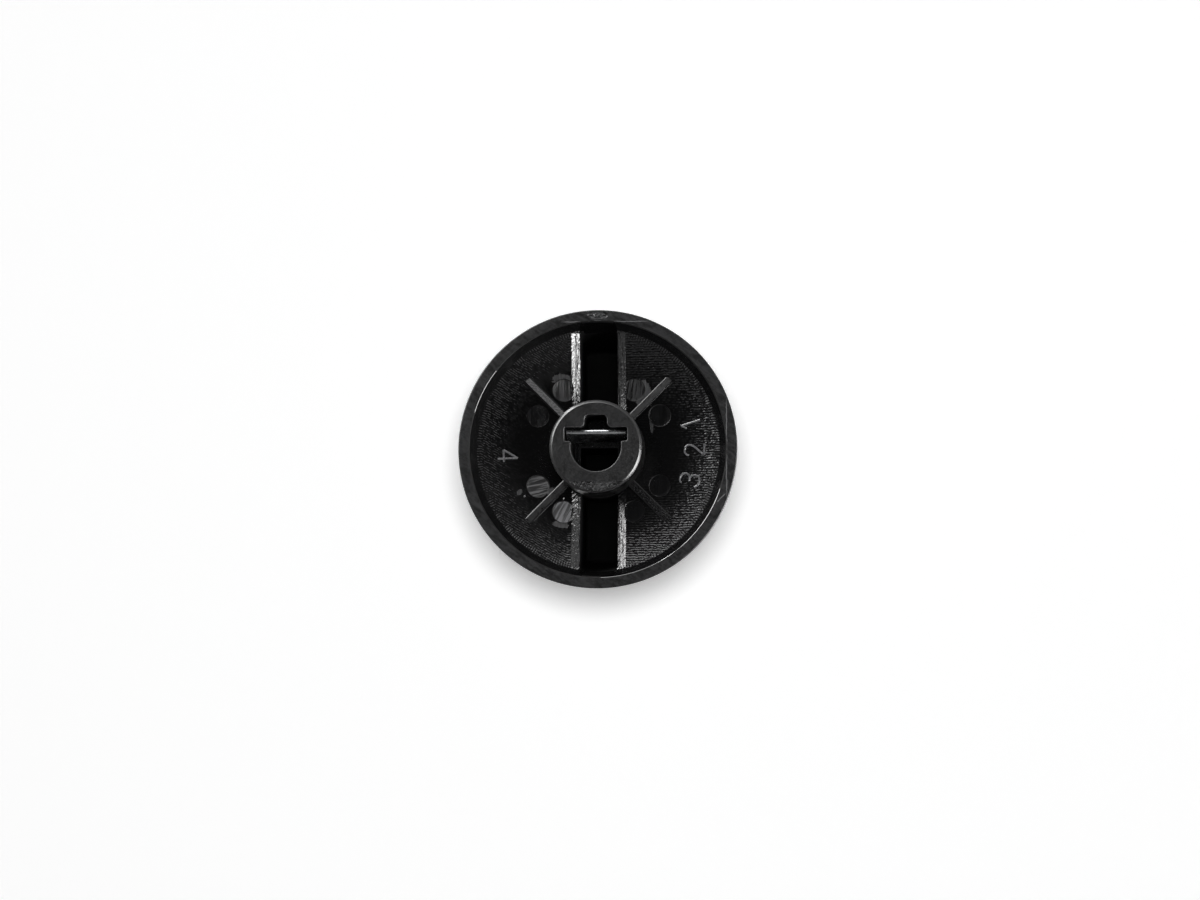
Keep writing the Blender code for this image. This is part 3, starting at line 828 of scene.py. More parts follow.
# %% [markdown]
# ## Numerals
#
# A mould's engraver cuts such marks with a round-nosed cutter, so they stand up from the bowl as thin
# rounded strokes. Plain numerals are drawn here. Each is a path of a few points on the bowl, and a
# Geometry Nodes tree sweeps a small circle along it.

# %% A tree that sweeps a round stroke along a path
STROKE_RADIUS = 0.18 * MM


def stroke_tree():
    tree, given = new_tree("round_stroke", Path="Geometry", Radius="Float", Finish="Material")
    path = add_node(tree, "GeometryNodeMeshToCurve", {0: given["Path"]})
    section = {"Resolution": 20, "Radius": given["Radius"]}
    section = add_node(tree, "GeometryNodeCurvePrimitiveCircle", section)
    inputs = {"Curve": path, "Profile Curve": section, "Fill Caps": True}
    swept = add_node(tree, "GeometryNodeCurveToMesh", inputs)
    return end_tree(tree, swept, given["Finish"])


STROKE_TREE = stroke_tree()


def stroke(name, points):
    obj = grown(name, points, chain(points), STROKE_TREE, Radius=STROKE_RADIUS)
    bm = bmesh.new()
    bm.from_mesh(obj.data)
    bmesh.ops.remove_doubles(bm, verts=bm.verts, dist=WELD)
    obj.data = mesh_from(name, bm)
    return obj


# %% Numeral strokes
# Each numeral is drawn in a box 1 wide and 1 high, from its lower left corner. A stroke has no sharp turn,
# because the swept circle would cut through itself there.
STROKES = {
    "1": [[(0.2, 0.76), (0.55, 1)], [(0.55, 1), (0.55, 0)]],
    "2": [
        [
            *((0.05, 0.78), (0.12, 0.9), (0.28, 0.98), (0.5, 1)),
            *((0.72, 0.97), (0.87, 0.86), (0.9, 0.7), (0.8, 0.54)),
        ],
        [(0.8, 0.54), (0.05, 0)],
        [(0.05, 0), (1, 0)],
    ],
    "3": [
        [
            *((0.05, 0.86), (0.16, 0.95), (0.34, 1), (0.62, 0.99)),
            *((0.82, 0.9), (0.9, 0.76), (0.83, 0.61), (0.62, 0.53)),
        ],
        [(0.62, 0.53), (0.35, 0.52)],
        [
            *((0.62, 0.53), (0.85, 0.46), (0.97, 0.3), (0.93, 0.13)),
            *((0.76, 0.02), (0.45, 0), (0.18, 0.04), (0.02, 0.16)),
        ],
    ],
    "4": [[(0.72, 0), (0.72, 1)], [(0.72, 1), (0, 0.32)], [(0, 0.32), (1, 0.32)]],
}
NUMERAL_HEIGHT = 3.2 * MM
NUMERAL_WIDTH = 2.0 * MM
# The numerals: (digit, distance from the axis in mm, degrees round it).
NUMERALS = [("1", 15.5, 16), ("2", 15.5, 0), ("3", 15.5, -18), ("4", 14.8, 183)]


def make_numeral(digit, radius, angle):
    """The strokes of a numeral whose top points to the shaft."""
    turn = Matrix.Rotation(angle, 3, "Z")
    made = []
    for i, path in enumerate(STROKES[digit]):
        points = []
        for start, end in zip(path, path[1:]):
            points += between(start, end, spread(0, 1, 4)[:-1])
        points.append(path[-1])
        on_bowl = []
        for x, y in points:
            local = turn @ Vector((radius - (y - 0.5) * NUMERAL_HEIGHT, (x - 0.5) * NUMERAL_WIDTH, 0))
            on_bowl.append((local.x, local.y, bowl_height(local.xy.length)))
        made.append(stroke(f"numeral_{digit}_{i}", on_bowl))
    return made


numerals = []
for digit, radius, degrees in NUMERALS:
    numerals += make_numeral(digit, radius * MM, math.radians(degrees))
combine(moulding, "UNION", *numerals)
print("with the numerals:", len(moulding.data.polygons), "faces")

# %% Nibs of flash
# Crumbs of plastic that stuck in the mould stand as small nibs: (x, y, length, width, height, degrees) in mm.
NIBS = [
    (-5.8, -7.7, 0.42, 0.2, 0.2, 60),
    (-12.0, -7.35, 0.22, 0.18, 0.15, 40),
    (4.45, 7.0, 0.4, 0.1, 0.12, -12),
]


def make_nib(x, y, length, width, height, degrees):
    bm = bmesh.new()
    foot = Matrix.Translation((x * MM, y * MM, bowl_height(math.hypot(x, y) * MM)))
    turn = Matrix.Rotation(math.radians(degrees), 4, "Z")
    size = Matrix.Diagonal((length * MM, width * MM, height * MM, 1))
    bmesh.ops.create_icosphere(bm, subdivisions=3, radius=1, matrix=foot @ turn @ size)
    return placed("nib", mesh_from("nib", bm))


combine(moulding, "UNION", *(make_nib(*nib) for nib in NIBS))
print("with the nibs:", len(moulding.data.polygons), "faces")

# %% [markdown]
# ## Finishes of the moulding
#
# The moulding is one plastic, black ABS, but the mould's steel was finished differently from place to place
# and the plastic copies it. The rim was ground, the hub's face spark-eroded, the bowl milled with a round
# cutter that left ripples, the pins' ends ground straight across, and the walls were polished. Where the
# plastic was rubbed or is dull it is rougher and scatters more light. In patches of the bowl, on some pins'
# ends and on one rib's top it is also coloured greyer, and that grey is painted sheen.

# %% Masks for marks at known places


def stretched(tree, vector, degrees, sizes):
    """Coordinates turned about Z and divided by a size along each axis, for scratches.

    The coordinates turn, so the pattern on the piece turns the other way.
    """
    turn = {"Vector": vector, "Rotation": (0, 0, math.radians(degrees))}
    turned_way = add_node(tree, "ShaderNodeMapping", turn)
    sizes = {"Vector": turned_way, "Scale": tuple(1 / size for size in sizes)}
    return add_node(tree, "ShaderNodeMapping", sizes)


def on_oval(tree, place, x, y, half_length, half_width, degrees):
    """Coordinates in which an oval, given in mm, is the circle of radius 1 round the origin."""
    oval = {"Vector": place, "Location": (x * MM, y * MM, 0), "Rotation": (0, 0, math.radians(degrees))}
    oval["Scale"] = (half_length * MM, half_width * MM, 1)
    return add_node(tree, "ShaderNodeMapping", oval, vector_type="TEXTURE")


def distance_from_axis(tree, place):
    flat = add_node(tree, "ShaderNodeVectorMath", {0: place, 1: (1, 1, 0)}, operation="MULTIPLY")
    return add_node(tree, "ShaderNodeVectorMath", {0: flat}, operation="LENGTH").outputs["Value"]


def frayed_by(tree, place, size, amount):
    """Noise round zero that makes a mark's edge uneven."""
    blotches = add_node(tree, "ShaderNodeTexNoise", {"Vector": place, "Scale": 1 / size, "Detail": 3})
    centred = add_node(tree, "ShaderNodeMath", {0: blotches, 1: 0.5}, operation="SUBTRACT")
    return add_node(tree, "ShaderNodeMath", {0: centred, 1: amount}, operation="MULTIPLY")


def patch_mask(tree, place, patches):
    """1 inside any of the ovals, given in mm as (x, y, half length, half width, degrees)."""
    frayed = frayed_by(tree, place, 0.5 * MM, 0.9)
    mask = 0
    for patch in patches:
        reach = distance_from_axis(tree, on_oval(tree, place, *patch))
        reach = add_node(tree, "ShaderNodeMath", {0: reach, 1: frayed}, operation="ADD")
        inside = add_node(tree, "ShaderNodeMapRange", {0: reach, 1: 0.85, 2: 1.1, 3: 1, 4: 0})
        mask = add_node(tree, "ShaderNodeMath", {0: inside, 1: mask}, operation="MAXIMUM")
    return mask


def line_mask(tree, place, lines):
    """1 on any of the straight lines, given in mm as (x, y, half length, half width, degrees)."""
    frayed = frayed_by(tree, place, 0.8 * MM, 3.5)
    mask = 0
    for line in lines:
        way = add_node(tree, "ShaderNodeSeparateXYZ", {0: on_oval(tree, place, *line)})
        along = add_node(tree, "ShaderNodeMath", {0: way.outputs["X"]}, operation="ABSOLUTE")
        in_length = add_node(tree, "ShaderNodeMapRange", {0: along, 1: 0.8, 2: 1, 3: 1, 4: 0})
        across = add_node(tree, "ShaderNodeMath", {0: way.outputs["Y"], 1: frayed}, operation="ADD")
        across = add_node(tree, "ShaderNodeMath", {0: across}, operation="ABSOLUTE")
        in_width = add_node(tree, "ShaderNodeMapRange", {0: across, 1: 0.3, 2: 1, 3: 1, 4: 0})
        on_line = add_node(tree, "ShaderNodeMath", {0: in_length, 1: in_width}, operation="MULTIPLY")
        mask = add_node(tree, "ShaderNodeMath", {0: on_line, 1: mask}, operation="MAXIMUM")
    return mask


# %% [markdown]
# ABS is a glossy, slightly soft plastic. Its IOR is about 1.54, and black ABS is nearly as dark as it can
# be. One function makes all its finishes: a relief pattern gives the bump, clouds vary the roughness, and
# where a finish is mottled its high spots are also greyer and duller, because they are the ones rubbed.

# %% Black ABS
ABS_BLACK = "0B0B0C"
ABS_IOR = 1.54
CLOUD_SIZE = 2.2 * MM
# The patches' grey is painted sheen: blotches of the bowl that show a soft sheen are coloured greyer as well as
# made rougher.
PATCH_PAINTED_SHEEN = "262627"
PATCH_ROUGHNESS = 0.42
LINE_GREY = "4C4C4D"
LINE_HEIGHT = 2
MOTTLE_ROUGHNESS = 1 / 7


def abs_material(
    name, roughness, vary, relief, depth, colour=ABS_BLACK, specular=0.5, patches=(), lines=(), mottle=0
):
    """Black ABS whose relief function gives a height from 0 to 1, which is depth metres high."""
    material = new_material(name)
    tree = material.node_tree
    place = add_node(tree, "ShaderNodeTexCoord").outputs["Object"]
    height = relief(tree, place)
    clouds = {"Vector": place, "Scale": 1 / CLOUD_SIZE, "Detail": 4, "Distortion": 0.6}
    clouds = add_node(tree, "ShaderNodeTexNoise", clouds)
    limits = {0: clouds, 1: 0.3, 2: 0.7, 3: roughness - vary, 4: roughness + vary}
    rough = add_node(tree, "ShaderNodeMapRange", limits)
    tint = hex_colour(colour)
    greyer = []
    if patches:
        mask = patch_mask(tree, place, patches)
        streaks = stretched(tree, place, 0, (0.25 * MM, 3 * MM, 1))
        streaks = add_node(tree, "ShaderNodeTexNoise", {"Vector": streaks, "Scale": 1, "Detail": 2})
        rough = add_node(tree, "ShaderNodeMix", {0: mask, 2: rough, 3: PATCH_ROUGHNESS})
        height = add_node(tree, "ShaderNodeMix", {0: mask, 2: height, 3: streaks})
        greyer.append((mask, PATCH_PAINTED_SHEEN))
    if lines:
        mask = line_mask(tree, place, lines)
        raised = add_node(tree, "ShaderNodeMath", {0: mask, 1: LINE_HEIGHT}, operation="MULTIPLY")
        height = add_node(tree, "ShaderNodeMath", {0: height, 1: raised}, operation="ADD")
        greyer.append((mask, LINE_GREY))
    # As a greyer colour, the patches get a painted sheen and the rim's lines a painted highlight.
    for mask, grey in greyer:
        shades = {0: mask, 6: tint, 7: hex_colour(grey)}
        tint = add_node(tree, "ShaderNodeMix", shades, data_type="RGBA").outputs[2]
    if mottle:
        shade = {0: height, 1: 0.3, 2: 0.7, 3: 1 - mottle, 4: 1 + mottle}
        shade = add_node(tree, "ShaderNodeMapRange", shade)
        tint = tint if greyer else tint[:3]
        tint = add_node(tree, "ShaderNodeVectorMath", {0: tint, "Scale": shade}, operation="SCALE")
        change = mottle * MOTTLE_ROUGHNESS
        duller = add_node(tree, "ShaderNodeMapRange", {0: height, 1: 0.3, 2: 0.7, 3: -change, 4: change})
        rough = add_node(tree, "ShaderNodeMath", {0: rough, 1: duller}, operation="ADD")
    bump = add_node(tree, "ShaderNodeBump", {"Height": height, "Distance": depth, "Strength": 1})
    inputs = {"Base Color": tint, "Roughness": rough, "IOR": ABS_IOR, "Specular IOR Level": specular}
    plastic = add_node(tree, "ShaderNodeBsdfPrincipled", inputs | {"Normal": bump})
    add_node(tree, "ShaderNodeOutputMaterial", {"Surface": plastic})
    return material


# %% Relief of eroded, ground and scratched faces


def grain_relief(size):
    def relief(tree, place):
        return add_node(tree, "ShaderNodeTexNoise", {"Vector": place, "Scale": 1 / size, "Detail": 4})

    return relief


def swirl_relief(tree, place):
    """Marbled swirls, as the melt leaves on a ground face, over fine grinding lines."""
    swirls = {"Vector": place, "Scale": 1 / (0.9 * MM), "Detail": 4, "Distortion": 2}
    swirls = add_node(tree, "ShaderNodeTexNoise", swirls)
    lines = stretched(tree, place, 35, (1.6 * MM, 0.3 * MM, 1.6 * MM))
    lines = add_node(tree, "ShaderNodeTexNoise", {"Vector": lines, "Scale": 1, "Detail": 3})
    both = add_node(tree, "ShaderNodeMix", {0: 0.5, 2: swirls, 3: lines})
    return add_node(tree, "ShaderNodeMapRange", {0: both, 1: 0.32, 2: 0.68, 3: 0, 4: 1})


def hatch_relief(tree, place):
    """Short slanting tool marks on the lips, over long uneven runs."""
    marks = stretched(tree, place, -50, (0.9 * MM, 0.28 * MM, 1 * MM))
    marks = add_node(tree, "ShaderNodeTexNoise", {"Vector": marks, "Scale": 1, "Detail": 2})
    runs = stretched(tree, place, 0, (0.45 * MM, 5 * MM, 1 * MM))
    runs = add_node(tree, "ShaderNodeTexNoise", {"Vector": runs, "Scale": 1, "Detail": 3})
    return add_node(tree, "ShaderNodeMix", {0: 0.5, 2: marks, 3: runs})


def scratch_relief(degrees, width, length):
    def relief(tree, place):
        runs = stretched(tree, place, degrees, (length, width, length))
        runs = add_node(tree, "ShaderNodeTexNoise", {"Vector": runs, "Scale": 1, "Detail": 3})
        return add_node(tree, "ShaderNodeMapRange", {0: runs, 1: 0.36, 2: 0.64, 3: 0, 4: 1})

    return relief


# %% [markdown]
# The ball cutter that milled the bowl went to and fro along X, and its passes slant on the left. They show
# as short dashes. Their pitch here is 0.4 mm, two of the render's pixels and the finest that still shows.
# They fade towards the middle, and the cutter's turns left teeth like a comb's along the bowl's edge.

# %% Relief of the milled bowl
RIPPLE_PITCH = 0.4 * MM
SLANT_FROM = 5 * MM
SLANT = 0.58
FADE_FROM, FADE_TO = 18 * MM, 12 * MM
FADED = 0.42
COMB_TEETH = 290
COMB_WIDTH = 1.2 * MM
COMB_SHARE = 0.85


def ripple_relief(tree, place):
    way = add_node(tree, "ShaderNodeSeparateXYZ", {0: place})
    x, y = way.outputs["X"], way.outputs["Y"]
    left = add_node(tree, "ShaderNodeMath", {0: x, 1: SLANT_FROM}, operation="ADD")
    left = add_node(tree, "ShaderNodeMath", {0: left, 1: 0}, operation="MINIMUM")
    slant = add_node(tree, "ShaderNodeMath", {0: left, 1: SLANT}, operation="MULTIPLY")
    across = add_node(tree, "ShaderNodeMath", {0: y, 1: slant}, operation="ADD")
    slanted = add_node(tree, "ShaderNodeCombineXYZ", {"X": x, "Y": across, "Z": way.outputs["Z"]})
    # A wave texture's bands lie tau / 20 apart at a scale of 1.
    waves = {"Vector": slanted, "Scale": math.tau / 20 / RIPPLE_PITCH, "Distortion": 3.2, "Detail": 1}
    waves["Detail Scale"] = 1.6
    passes = add_node(tree, "ShaderNodeTexWave", waves, wave_type="BANDS", bands_direction="Y")
    dashes = stretched(tree, slanted, 0, (0.42 * MM, 0.26 * MM, 1 * MM))
    dashes = add_node(tree, "ShaderNodeTexNoise", {"Vector": dashes, "Scale": 1, "Detail": 1})
    dashes = add_node(tree, "ShaderNodeMapRange", {0: dashes, 1: 0.35, 2: 0.6, 3: 0.35, 4: 1})
    height = {0: passes.outputs["Fac"], 1: dashes}
    height = add_node(tree, "ShaderNodeMath", height, operation="MULTIPLY")
    grain = add_node(tree, "ShaderNodeTexNoise", {"Vector": place, "Scale": 1 / (0.25 * MM), "Detail": 2})
    height = add_node(tree, "ShaderNodeMix", {0: 0.12, 2: height, 3: grain})
    radius = distance_from_axis(tree, place)
    fade = add_node(tree, "ShaderNodeMapRange", {0: radius, 1: FADE_TO, 2: FADE_FROM, 3: FADED, 4: 1})
    height = add_node(tree, "ShaderNodeMath", {0: height, 1: fade}, operation="MULTIPLY")
    turns = add_node(tree, "ShaderNodeMath", {0: y, 1: x}, operation="ARCTAN2")
    turns = add_node(tree, "ShaderNodeMath", {0: turns, 1: COMB_TEETH}, operation="MULTIPLY")
    teeth = add_node(tree, "ShaderNodeMath", {0: turns}, operation="SINE")
    teeth = add_node(tree, "ShaderNodeMapRange", {0: teeth, 1: -1, 2: 1, 3: 0, 4: 1})
    comb = {0: radius, 1: BOWL_EDGE_RADIUS - COMB_WIDTH, 2: BOWL_EDGE_RADIUS - COMB_WIDTH / 3}
    comb = add_node(tree, "ShaderNodeMapRange", comb | {3: 0, 4: COMB_SHARE})
    gaps = add_node(tree, "ShaderNodeTexNoise", {"Vector": place, "Scale": 1 / (1.5 * MM), "Detail": 2})
    gaps = add_node(tree, "ShaderNodeMapRange", {0: gaps, 1: 0.4, 2: 0.6, 3: 0.3, 4: 1})
    comb = add_node(tree, "ShaderNodeMath", {0: comb, 1: gaps}, operation="MULTIPLY")
    return add_node(tree, "ShaderNodeMix", {0: comb, 2: height, 3: teeth})


# %% The finishes
BOWL_PATCHES = [
    (-5.9, 11.6, 1.75, 0.9, 0),
    (7.6, 9.6, 2.3, 0.9, 110),
    (6.7, 8.3, 1.4, 0.7, 80),
    (8.5, 4.7, 2.1, 0.3, 92),
    (-7.85, -6.5, 0.75, 0.45, 45),
    (-12.8, -6.7, 0.6, 0.4, 60),
    (-6.1, -12.0, 1.4, 0.55, -10),
]
LIP_LINES = [(-3.68, 13.4, 5.2, 0.13, 90)]
# On the rim the lines stand up in the bump, and their light grey is painted highlight.
RIM_LINES = [(20.76, 0, 8.2, 0.1, 90), (1.2, 20.6, 7.2, 0.09, 0), (19.9, -8.0, 1.0, 0.1, 46)]
RIM_LOOK = {"colour": "151516", "specular": 0.22, "lines": RIM_LINES, "mottle": 0.6}
BOWL_LOOK = {"colour": "0F0F10", "patches": BOWL_PATCHES, "mottle": 0.7}
SKIN, RIM, HUB, STRIP, BOWL, WALL, CHANNEL, LIP, EDGE, BREAK, NUMERAL, RING, MOUTH = range(13)
# Each has its name, roughness, how much that varies, relief and its depth, and then what isn't plain black.
MOULDING_FINISHES = [
    abs_material("abs_moulded_satin", 0.34, 0.05, grain_relief(0.3 * MM), 0.004 * MM),
    abs_material("abs_rim_ground", 0.47, 0.05, swirl_relief, 0.012 * MM, **RIM_LOOK),
    abs_material("abs_hub_eroded", 0.38, 0.03, grain_relief(0.3 * MM), 0.05 * MM, "0C0C0D", 0.45, mottle=0.45),
    abs_material("abs_strip_rough", 0.3, 0.1, grain_relief(0.4 * MM), 0.16 * MM, "1A1A1B", mottle=0.8),
    abs_material("abs_bowl_milled", 0.19, 0.02, ripple_relief, 0.034 * MM, **BOWL_LOOK),
    abs_material("abs_wall_polished", 0.24, 0.03, grain_relief(0.5 * MM), 0.002 * MM, "0E0E0F"),
    # The channel's finish is rough and also painted shade: darker and less mirroring than the rest, it goes on
    # the channel, the socket, the sides of cuts into the bowl and the well's mouth where no light falls.
    abs_material("abs_channel_painted_shade", 0.6, 0.05, grain_relief(0.4 * MM), 0.004 * MM, "050505", 0.18),
    abs_material("abs_lip_hatched", 0.2, 0.05, hatch_relief, 0.26 * MM, specular=0.66, lines=LIP_LINES),
    abs_material("abs_edge_smooth", 0.13, 0.03, grain_relief(0.4 * MM), 0.004 * MM),
    # The break's grey is painted highlight: it draws the thin light line round the socket's edge and the light
    # on the gate's stub.
    abs_material("abs_break_painted_highlight", 0.45, 0.05, grain_relief(0.2 * MM), 0.05 * MM, "343435", mottle=0.6),
    # The numerals' light grey is painted highlight: their strokes are black plastic, lit along their rounded
    # tops.
    abs_material("abs_numeral_painted_highlight", 0.12, 0.03, grain_relief(0.3 * MM), 0.02 * MM, "6A6A6C", mottle=0.45),
    abs_material("abs_hub_ring_turned", 0.3, 0.05, grain_relief(0.4 * MM), 0.02 * MM, "141415"),
    # The mouth's finish, glossier and more mirroring than plain ABS, is painted highlight where light falls.
    abs_material("abs_mouth_painted_highlight", 0.1, 0.02, grain_relief(0.4 * MM), 0.002 * MM, specular=1),
]

# %% [markdown]
# The ribs' tops and the pins' ends were each finished by hand, so each has its own row: its degrees round
# the axis, roughness, degrees by which its scratches turn clockwise, their depth in mm, colour and mottle.

# %% Finishes of the ribs' tops and the pins' ends
# The lighter greys, most of all on the rib at 135 degrees and the pins at 210 and 240 degrees, are painted
# sheen; the roughness and scratches are the marks' own.
RIB_FINISHES = [
    (45, 0.42, 45, 0.012, "121213", 0.5),
    (135, 0.55, 20, 0.012, "424243", 0.5),
    (225, 0.38, 45, 0.012, "0E0E0F", 0.5),
    (315, 0.3, 45, 0.012, ABS_BLACK, 0.5),
]
PIN_FINISHES = [
    (30, 0.17, 90, 0.008, ABS_BLACK, 0.2),
    (60, 0.34, 100, 0.02, "101011", 0.6),
    (120, 0.42, 90, 0.03, "1A1A1B", 0.6),
    (150, 0.24, 90, 0.012, "0E0E0F", 0.3),
    (210, 0.47, -12, 0.03, "303031", 0.8),
    (240, 0.5, -62, 0.03, "464648", 0.7),
    (300, 0.15, 90, 0.004, ABS_BLACK, 0.1),
    (330, 0.15, 90, 0.004, ABS_BLACK, 0.1),
]


def add_scratched(kind, rows, vary, width, length):
    """Adds a finish for each row, and returns the number of the first one."""
    first = len(MOULDING_FINISHES)
    for degrees, roughness, turn, depth, colour, mottle in rows:
        relief = scratch_relief(turn, width, length)
        name = f"abs_{kind[0]}_{degrees}_{kind[1]}"
        MOULDING_FINISHES.append(abs_material(name, roughness, vary, relief, depth * MM, colour, mottle=mottle))
    return first


FIRST_RIB = add_scratched(("rib", "rubbed"), RIB_FINISHES, 0.05, 0.2 * MM, 0.4 * MM)
FIRST_PIN = add_scratched(("pin", "ground"), PIN_FINISHES, 0.04, 0.3 * MM, 4 * MM)
print("finishes of the moulding:", len(MOULDING_FINISHES))

# %% [markdown]
# A face gets its finish by where it lies and how it faces, tested from the plainest places to the finest.
# The well's mouth has its bright finish only where the photograph shows light on it.

# %% Give each face the finish of its part of the mould
# Painted highlight: the well's mouth gets a glossy finish where light falls on it, and the dark channel
# finish elsewhere. Where it gleams: (first degrees, last degrees, finish).
MOUTH_GLEAMS = [(142, 163, EDGE), (272, 342, MOUTH)]
RIB_TOP_Z = bowl_height(BOWL_EDGE_RADIUS - RIB_END_GAP)
LIP_REACH = 1.4 * MM
GATE_BREAK_RADIUS = 1 * MM
NUMERALS_FROM = HUB_RADIUS + 4 * MM
# How far a face looks up, as the Z of its normal: the hub's face, a rib's top, and the slope of a cut's side.
HUB_FLAT, FLAT, STEEP = 0.99, 0.995, 0.85
NEAR = 0.004 * MM


def finish_of(face):
    """The number of the finish of a face of the moulding."""
    if face.normal.z < -0.01:
        return SKIN
    middle = face.calc_center_median()
    radius = middle.xy.length
    degrees = math.degrees(math.atan2(middle.y, middle.x)) % 360
    if middle.z > HUB_FACE_Z - STRIP_STEP - NEAR and face.normal.z > HUB_FLAT:
        return HUB if middle.z > HUB_FACE_Z - NEAR else STRIP
    if radius < HUB_RADIUS + NEAR and middle.z > bowl_height(0) + MM:
        if radius > HUB_RADIUS - HUB_RING_WIDTH - NEAR:
            return RING
        return BREAK if middle.z > HUB_FACE_Z - 1.2 * SOCKET_BREAK else CHANNEL
    if radius > WELL_RADIUS + NEAR and middle.z > RIM_Z - NEAR:
        return RIM
    from_gate = math.hypot(middle.x, middle.y - GATE_Y)
    in_dimple = from_gate < GATE_LENGTH / 2 and middle.z > RIM_Z - MM
    if in_dimple and WELL_RADIUS < radius < SKIRT_RADIUS - RIM_EDGE_RADIUS:
        return BREAK if from_gate < GATE_BREAK_RADIUS else RIM
    if radius > SKIRT_RADIUS - RIM_EDGE_RADIUS - NEAR or middle.z < CREST_WALL - NEAR:
        return SKIN
    if radius > WELL_RADIUS - WELL_LIP_RADIUS and middle.z > RIM_Z - WELL_LIP_RADIUS:
        return next((finish for first, last, finish in MOUTH_GLEAMS if first < degrees < last), CHANNEL)
    if radius > BOWL_EDGE_RADIUS + NEAR:
        return SKIN if radius > WELL_RADIUS + NEAR else WALL
    below_bowl = [(v.co - BOWL_CENTRE).length - BOWL_RADIUS for v in face.verts]
    depth = min(below_bowl)
    if abs(middle.x) < LIP_EDGE_X + NEAR:
        return LIP if depth < LIP_REACH and face.normal.z > 0.1 else CHANNEL
    off_diagonal = abs(abs(middle.x) - abs(middle.y)) / math.sqrt(2)
    if off_diagonal < RIB_WIDTH / 2 and abs(middle.z - RIB_TOP_Z) < RIB_TOP_RADIUS and face.normal.z > 0.1:
        if face.normal.z > FLAT:
            return FIRST_RIB + int(degrees // 90)
        across_rib = face.normal.x * middle.x * face.normal.y * middle.y < 0
        if across_rib and abs(abs(face.normal.x) - abs(face.normal.y)) < 0.1:
            return EDGE
    if depth < -NEAR and radius > NUMERALS_FROM:
        return NUMERAL
    if face.normal.z <= STEEP and max(below_bowl) > NEAR:
        return CHANNEL
    if depth > NEAR and face.normal.z > STEEP:
        return FIRST_PIN + min(range(len(PIN_FINISHES)), key=lambda i: abs(PIN_FINISHES[i][0] - degrees))
    return BOWL


# %% Finish the moulding's mesh
MOULDING_SHARP = 24


def settle(obj, finishes, chooser, sharp_degrees):
    """Cleans a made mesh, gives its faces their finishes and makes it smooth apart from its true edges."""
    obj.data.materials.clear()
    for finish in finishes:
        obj.data.materials.append(finish)
    bm = bmesh.new()
    bm.from_mesh(obj.data)
    bmesh.ops.remove_doubles(bm, verts=bm.verts, dist=WELD)
    bmesh.ops.dissolve_degenerate(bm, edges=bm.edges, dist=WELD)
    bm.normal_update()
    for face in bm.faces:
        face.material_index = chooser(face)
    bm.to_mesh(obj.data)
    bm.free()
    obj.data.shade_smooth()
    obj.data.set_sharp_from_angle(angle=math.radians(sharp_degrees))


settle(moulding, MOULDING_FINISHES, finish_of, MOULDING_SHARP)
counts = np.bincount([p.material_index for p in moulding.data.polygons], minlength=len(MOULDING_FINISHES))
print("faces of each finish:", dict(zip([m.name for m in MOULDING_FINISHES], counts.tolist())))

# %% [markdown]
# ## The leaf spring
#
# A strip of spring steel, bent back on itself, stands in the slot. Its bend looks out of the socket and
# carries the brightest light of the picture. It is an outline in the Y-Z plane given its width, with the
# strip's edges rounded as rolling leaves them, and bent a little across its width. The bend lies a little
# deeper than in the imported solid, as the slot's wall cuts off its highlight in the photograph.

# %% Spring
SPRING_EDGE_RADIUS = 0.05 * MM
SPRING_RECESS = 1 * MM
SPRING_STEPS = 24
SPRING_CROWN_RADIUS = 40 * MM
SPRING_COLUMNS = 40


def spring_path():
    """Middle line of the strip as (y, z) points: up the rear leg, over the bend, down the bowed front leg."""
    room = SLOT_HEIGHT - 2 * SPRING_GAP - SPRING_THICKNESS
    bow = room * SPRING_BOW_SHARE
    bend_radius = (room - bow) / 2
    rear_y = SLOT_TOP - SPRING_GAP - SPRING_THICKNESS / 2
    bend_z = HUB_FACE_Z - SPRING_RECESS - SPRING_THICKNESS / 2 - bend_radius
    foot_z = SOCKET_FLOOR_Z + SPRING_GAP
    above_peak = (bend_z - foot_z) * SPRING_PEAK_SHARE
    bow_radius = (above_peak**2 + bow**2) / (2 * bow)
    lean = math.asin(above_peak / bow_radius)
    rear = [(rear_y, z) for z in spread(foot_z, bend_z, SPRING_STEPS)[:-1]]
    bend = arc((rear_y - bend_radius, bend_z), bend_radius, 0, math.pi - lean, SPRING_STEPS)
    peak_y, peak_z = bend[-1][0] - bow, bend[-1][1] - above_peak
    front = arc((peak_y + bow_radius, peak_z), bow_radius, math.pi - lean, math.pi, SPRING_STEPS)
    foot_back = bow * SPRING_FOOT_SHARE
    foot_radius = ((peak_z - foot_z) ** 2 + foot_back**2) / (2 * foot_back)
    foot_turn = math.asin((peak_z - foot_z) / foot_radius)
    foot = arc((peak_y + foot_radius, peak_z), foot_radius, math.pi, math.pi + foot_turn, SPRING_STEPS)
    return rear + bend + front[1:] + foot[1:]


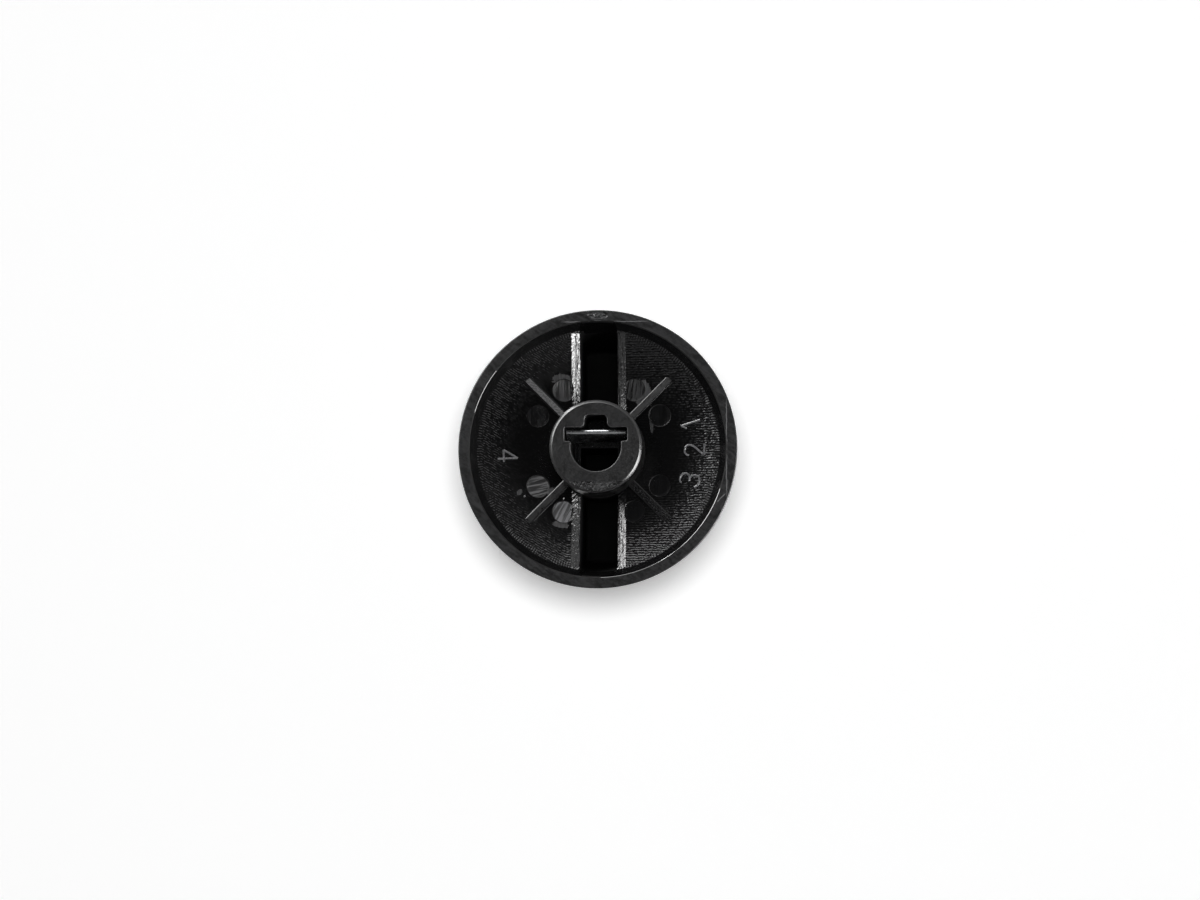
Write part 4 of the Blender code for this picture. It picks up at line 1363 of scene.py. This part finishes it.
def make_spring():
    path = [Vector(p) for p in spring_path()]
    outer, inner = [], []
    for i, here in enumerate(path):
        along = (path[min(i + 1, len(path) - 1)] - path[max(i - 1, 0)]).normalized()
        side = Vector((along.y, -along.x)) * SPRING_THICKNESS / 2
        outer.append(here + side)
        inner.append(here - side)
    outline = outer + inner[::-1]
    half_width = SLOT_HALF - SPRING_GAP
    rings = []
    for x in spread(-half_width, half_width, SPRING_COLUMNS):
        drop = x**2 / (2 * SPRING_CROWN_RADIUS)
        foot = outline[0][1]
        rings.append([(x, p.x, p.y - drop * (p.y - foot) / (HUB_FACE_Z - foot)) for p in outline])
    spring = lofted("spring_steel_leaf", rings)
    bevel = spring.modifiers.new("rolled edges", "BEVEL")
    bevel.width = SPRING_EDGE_RADIUS
    bevel.segments = 2
    bevel.limit_method = "ANGLE"
    bevel.angle_limit = math.radians(50)
    spring.data = plain_mesh(spring)
    spring.modifiers.clear()
    return spring


spring = make_spring()
print("spring:", len(spring.data.polygons), "faces")

# %% [markdown]
# Spring steel strip is cold-rolled, so it is bright, with fine lines along its length from the rolls. A
# metal's colour is what it mirrors, and its IOR stays as it is.

# %% Spring steel
STEEL = hex_colour("C2C4C6")
STEEL_ROUGHNESS = (0.19, 0.3)
ROLL_LINE_WIDTH = 0.04 * MM
ROLL_LINE_LENGTH = 2 * MM
ROLL_LINE_DEPTH = 0.002 * MM
SPRING_SHARP = 40


def steel_material():
    material = new_material("spring_steel_rolled")
    tree = material.node_tree
    place = add_node(tree, "ShaderNodeTexCoord").outputs["Object"]
    lines = stretched(tree, place, 0, (ROLL_LINE_WIDTH, ROLL_LINE_LENGTH, ROLL_LINE_LENGTH))
    lines = add_node(tree, "ShaderNodeTexNoise", {"Vector": lines, "Scale": 1, "Detail": 3})
    blotch = add_node(tree, "ShaderNodeTexNoise", {"Vector": place, "Scale": 1 / (0.8 * MM), "Detail": 3})
    low, high = STEEL_ROUGHNESS
    rough = add_node(tree, "ShaderNodeMapRange", {0: blotch, 1: 0.3, 2: 0.7, 3: low, 4: high})
    bump = add_node(tree, "ShaderNodeBump", {"Height": lines, "Distance": ROLL_LINE_DEPTH, "Strength": 1})
    inputs = {"Base Color": STEEL, "Metallic": 1, "Roughness": rough, "Normal": bump}
    metal = add_node(tree, "ShaderNodeBsdfPrincipled", inputs)
    add_node(tree, "ShaderNodeOutputMaterial", {"Surface": metal})
    return material


settle(spring, [steel_material()], lambda face: 0, SPRING_SHARP)

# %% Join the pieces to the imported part
for piece, node, slot in ((moulding, "knob_moulding", "moulding"), (spring, "shaft_spring", "spring")):
    workshop.objects.unlink(piece)
    bpy.context.scene.collection.objects.link(piece)
    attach(piece, "root")
    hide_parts(node)
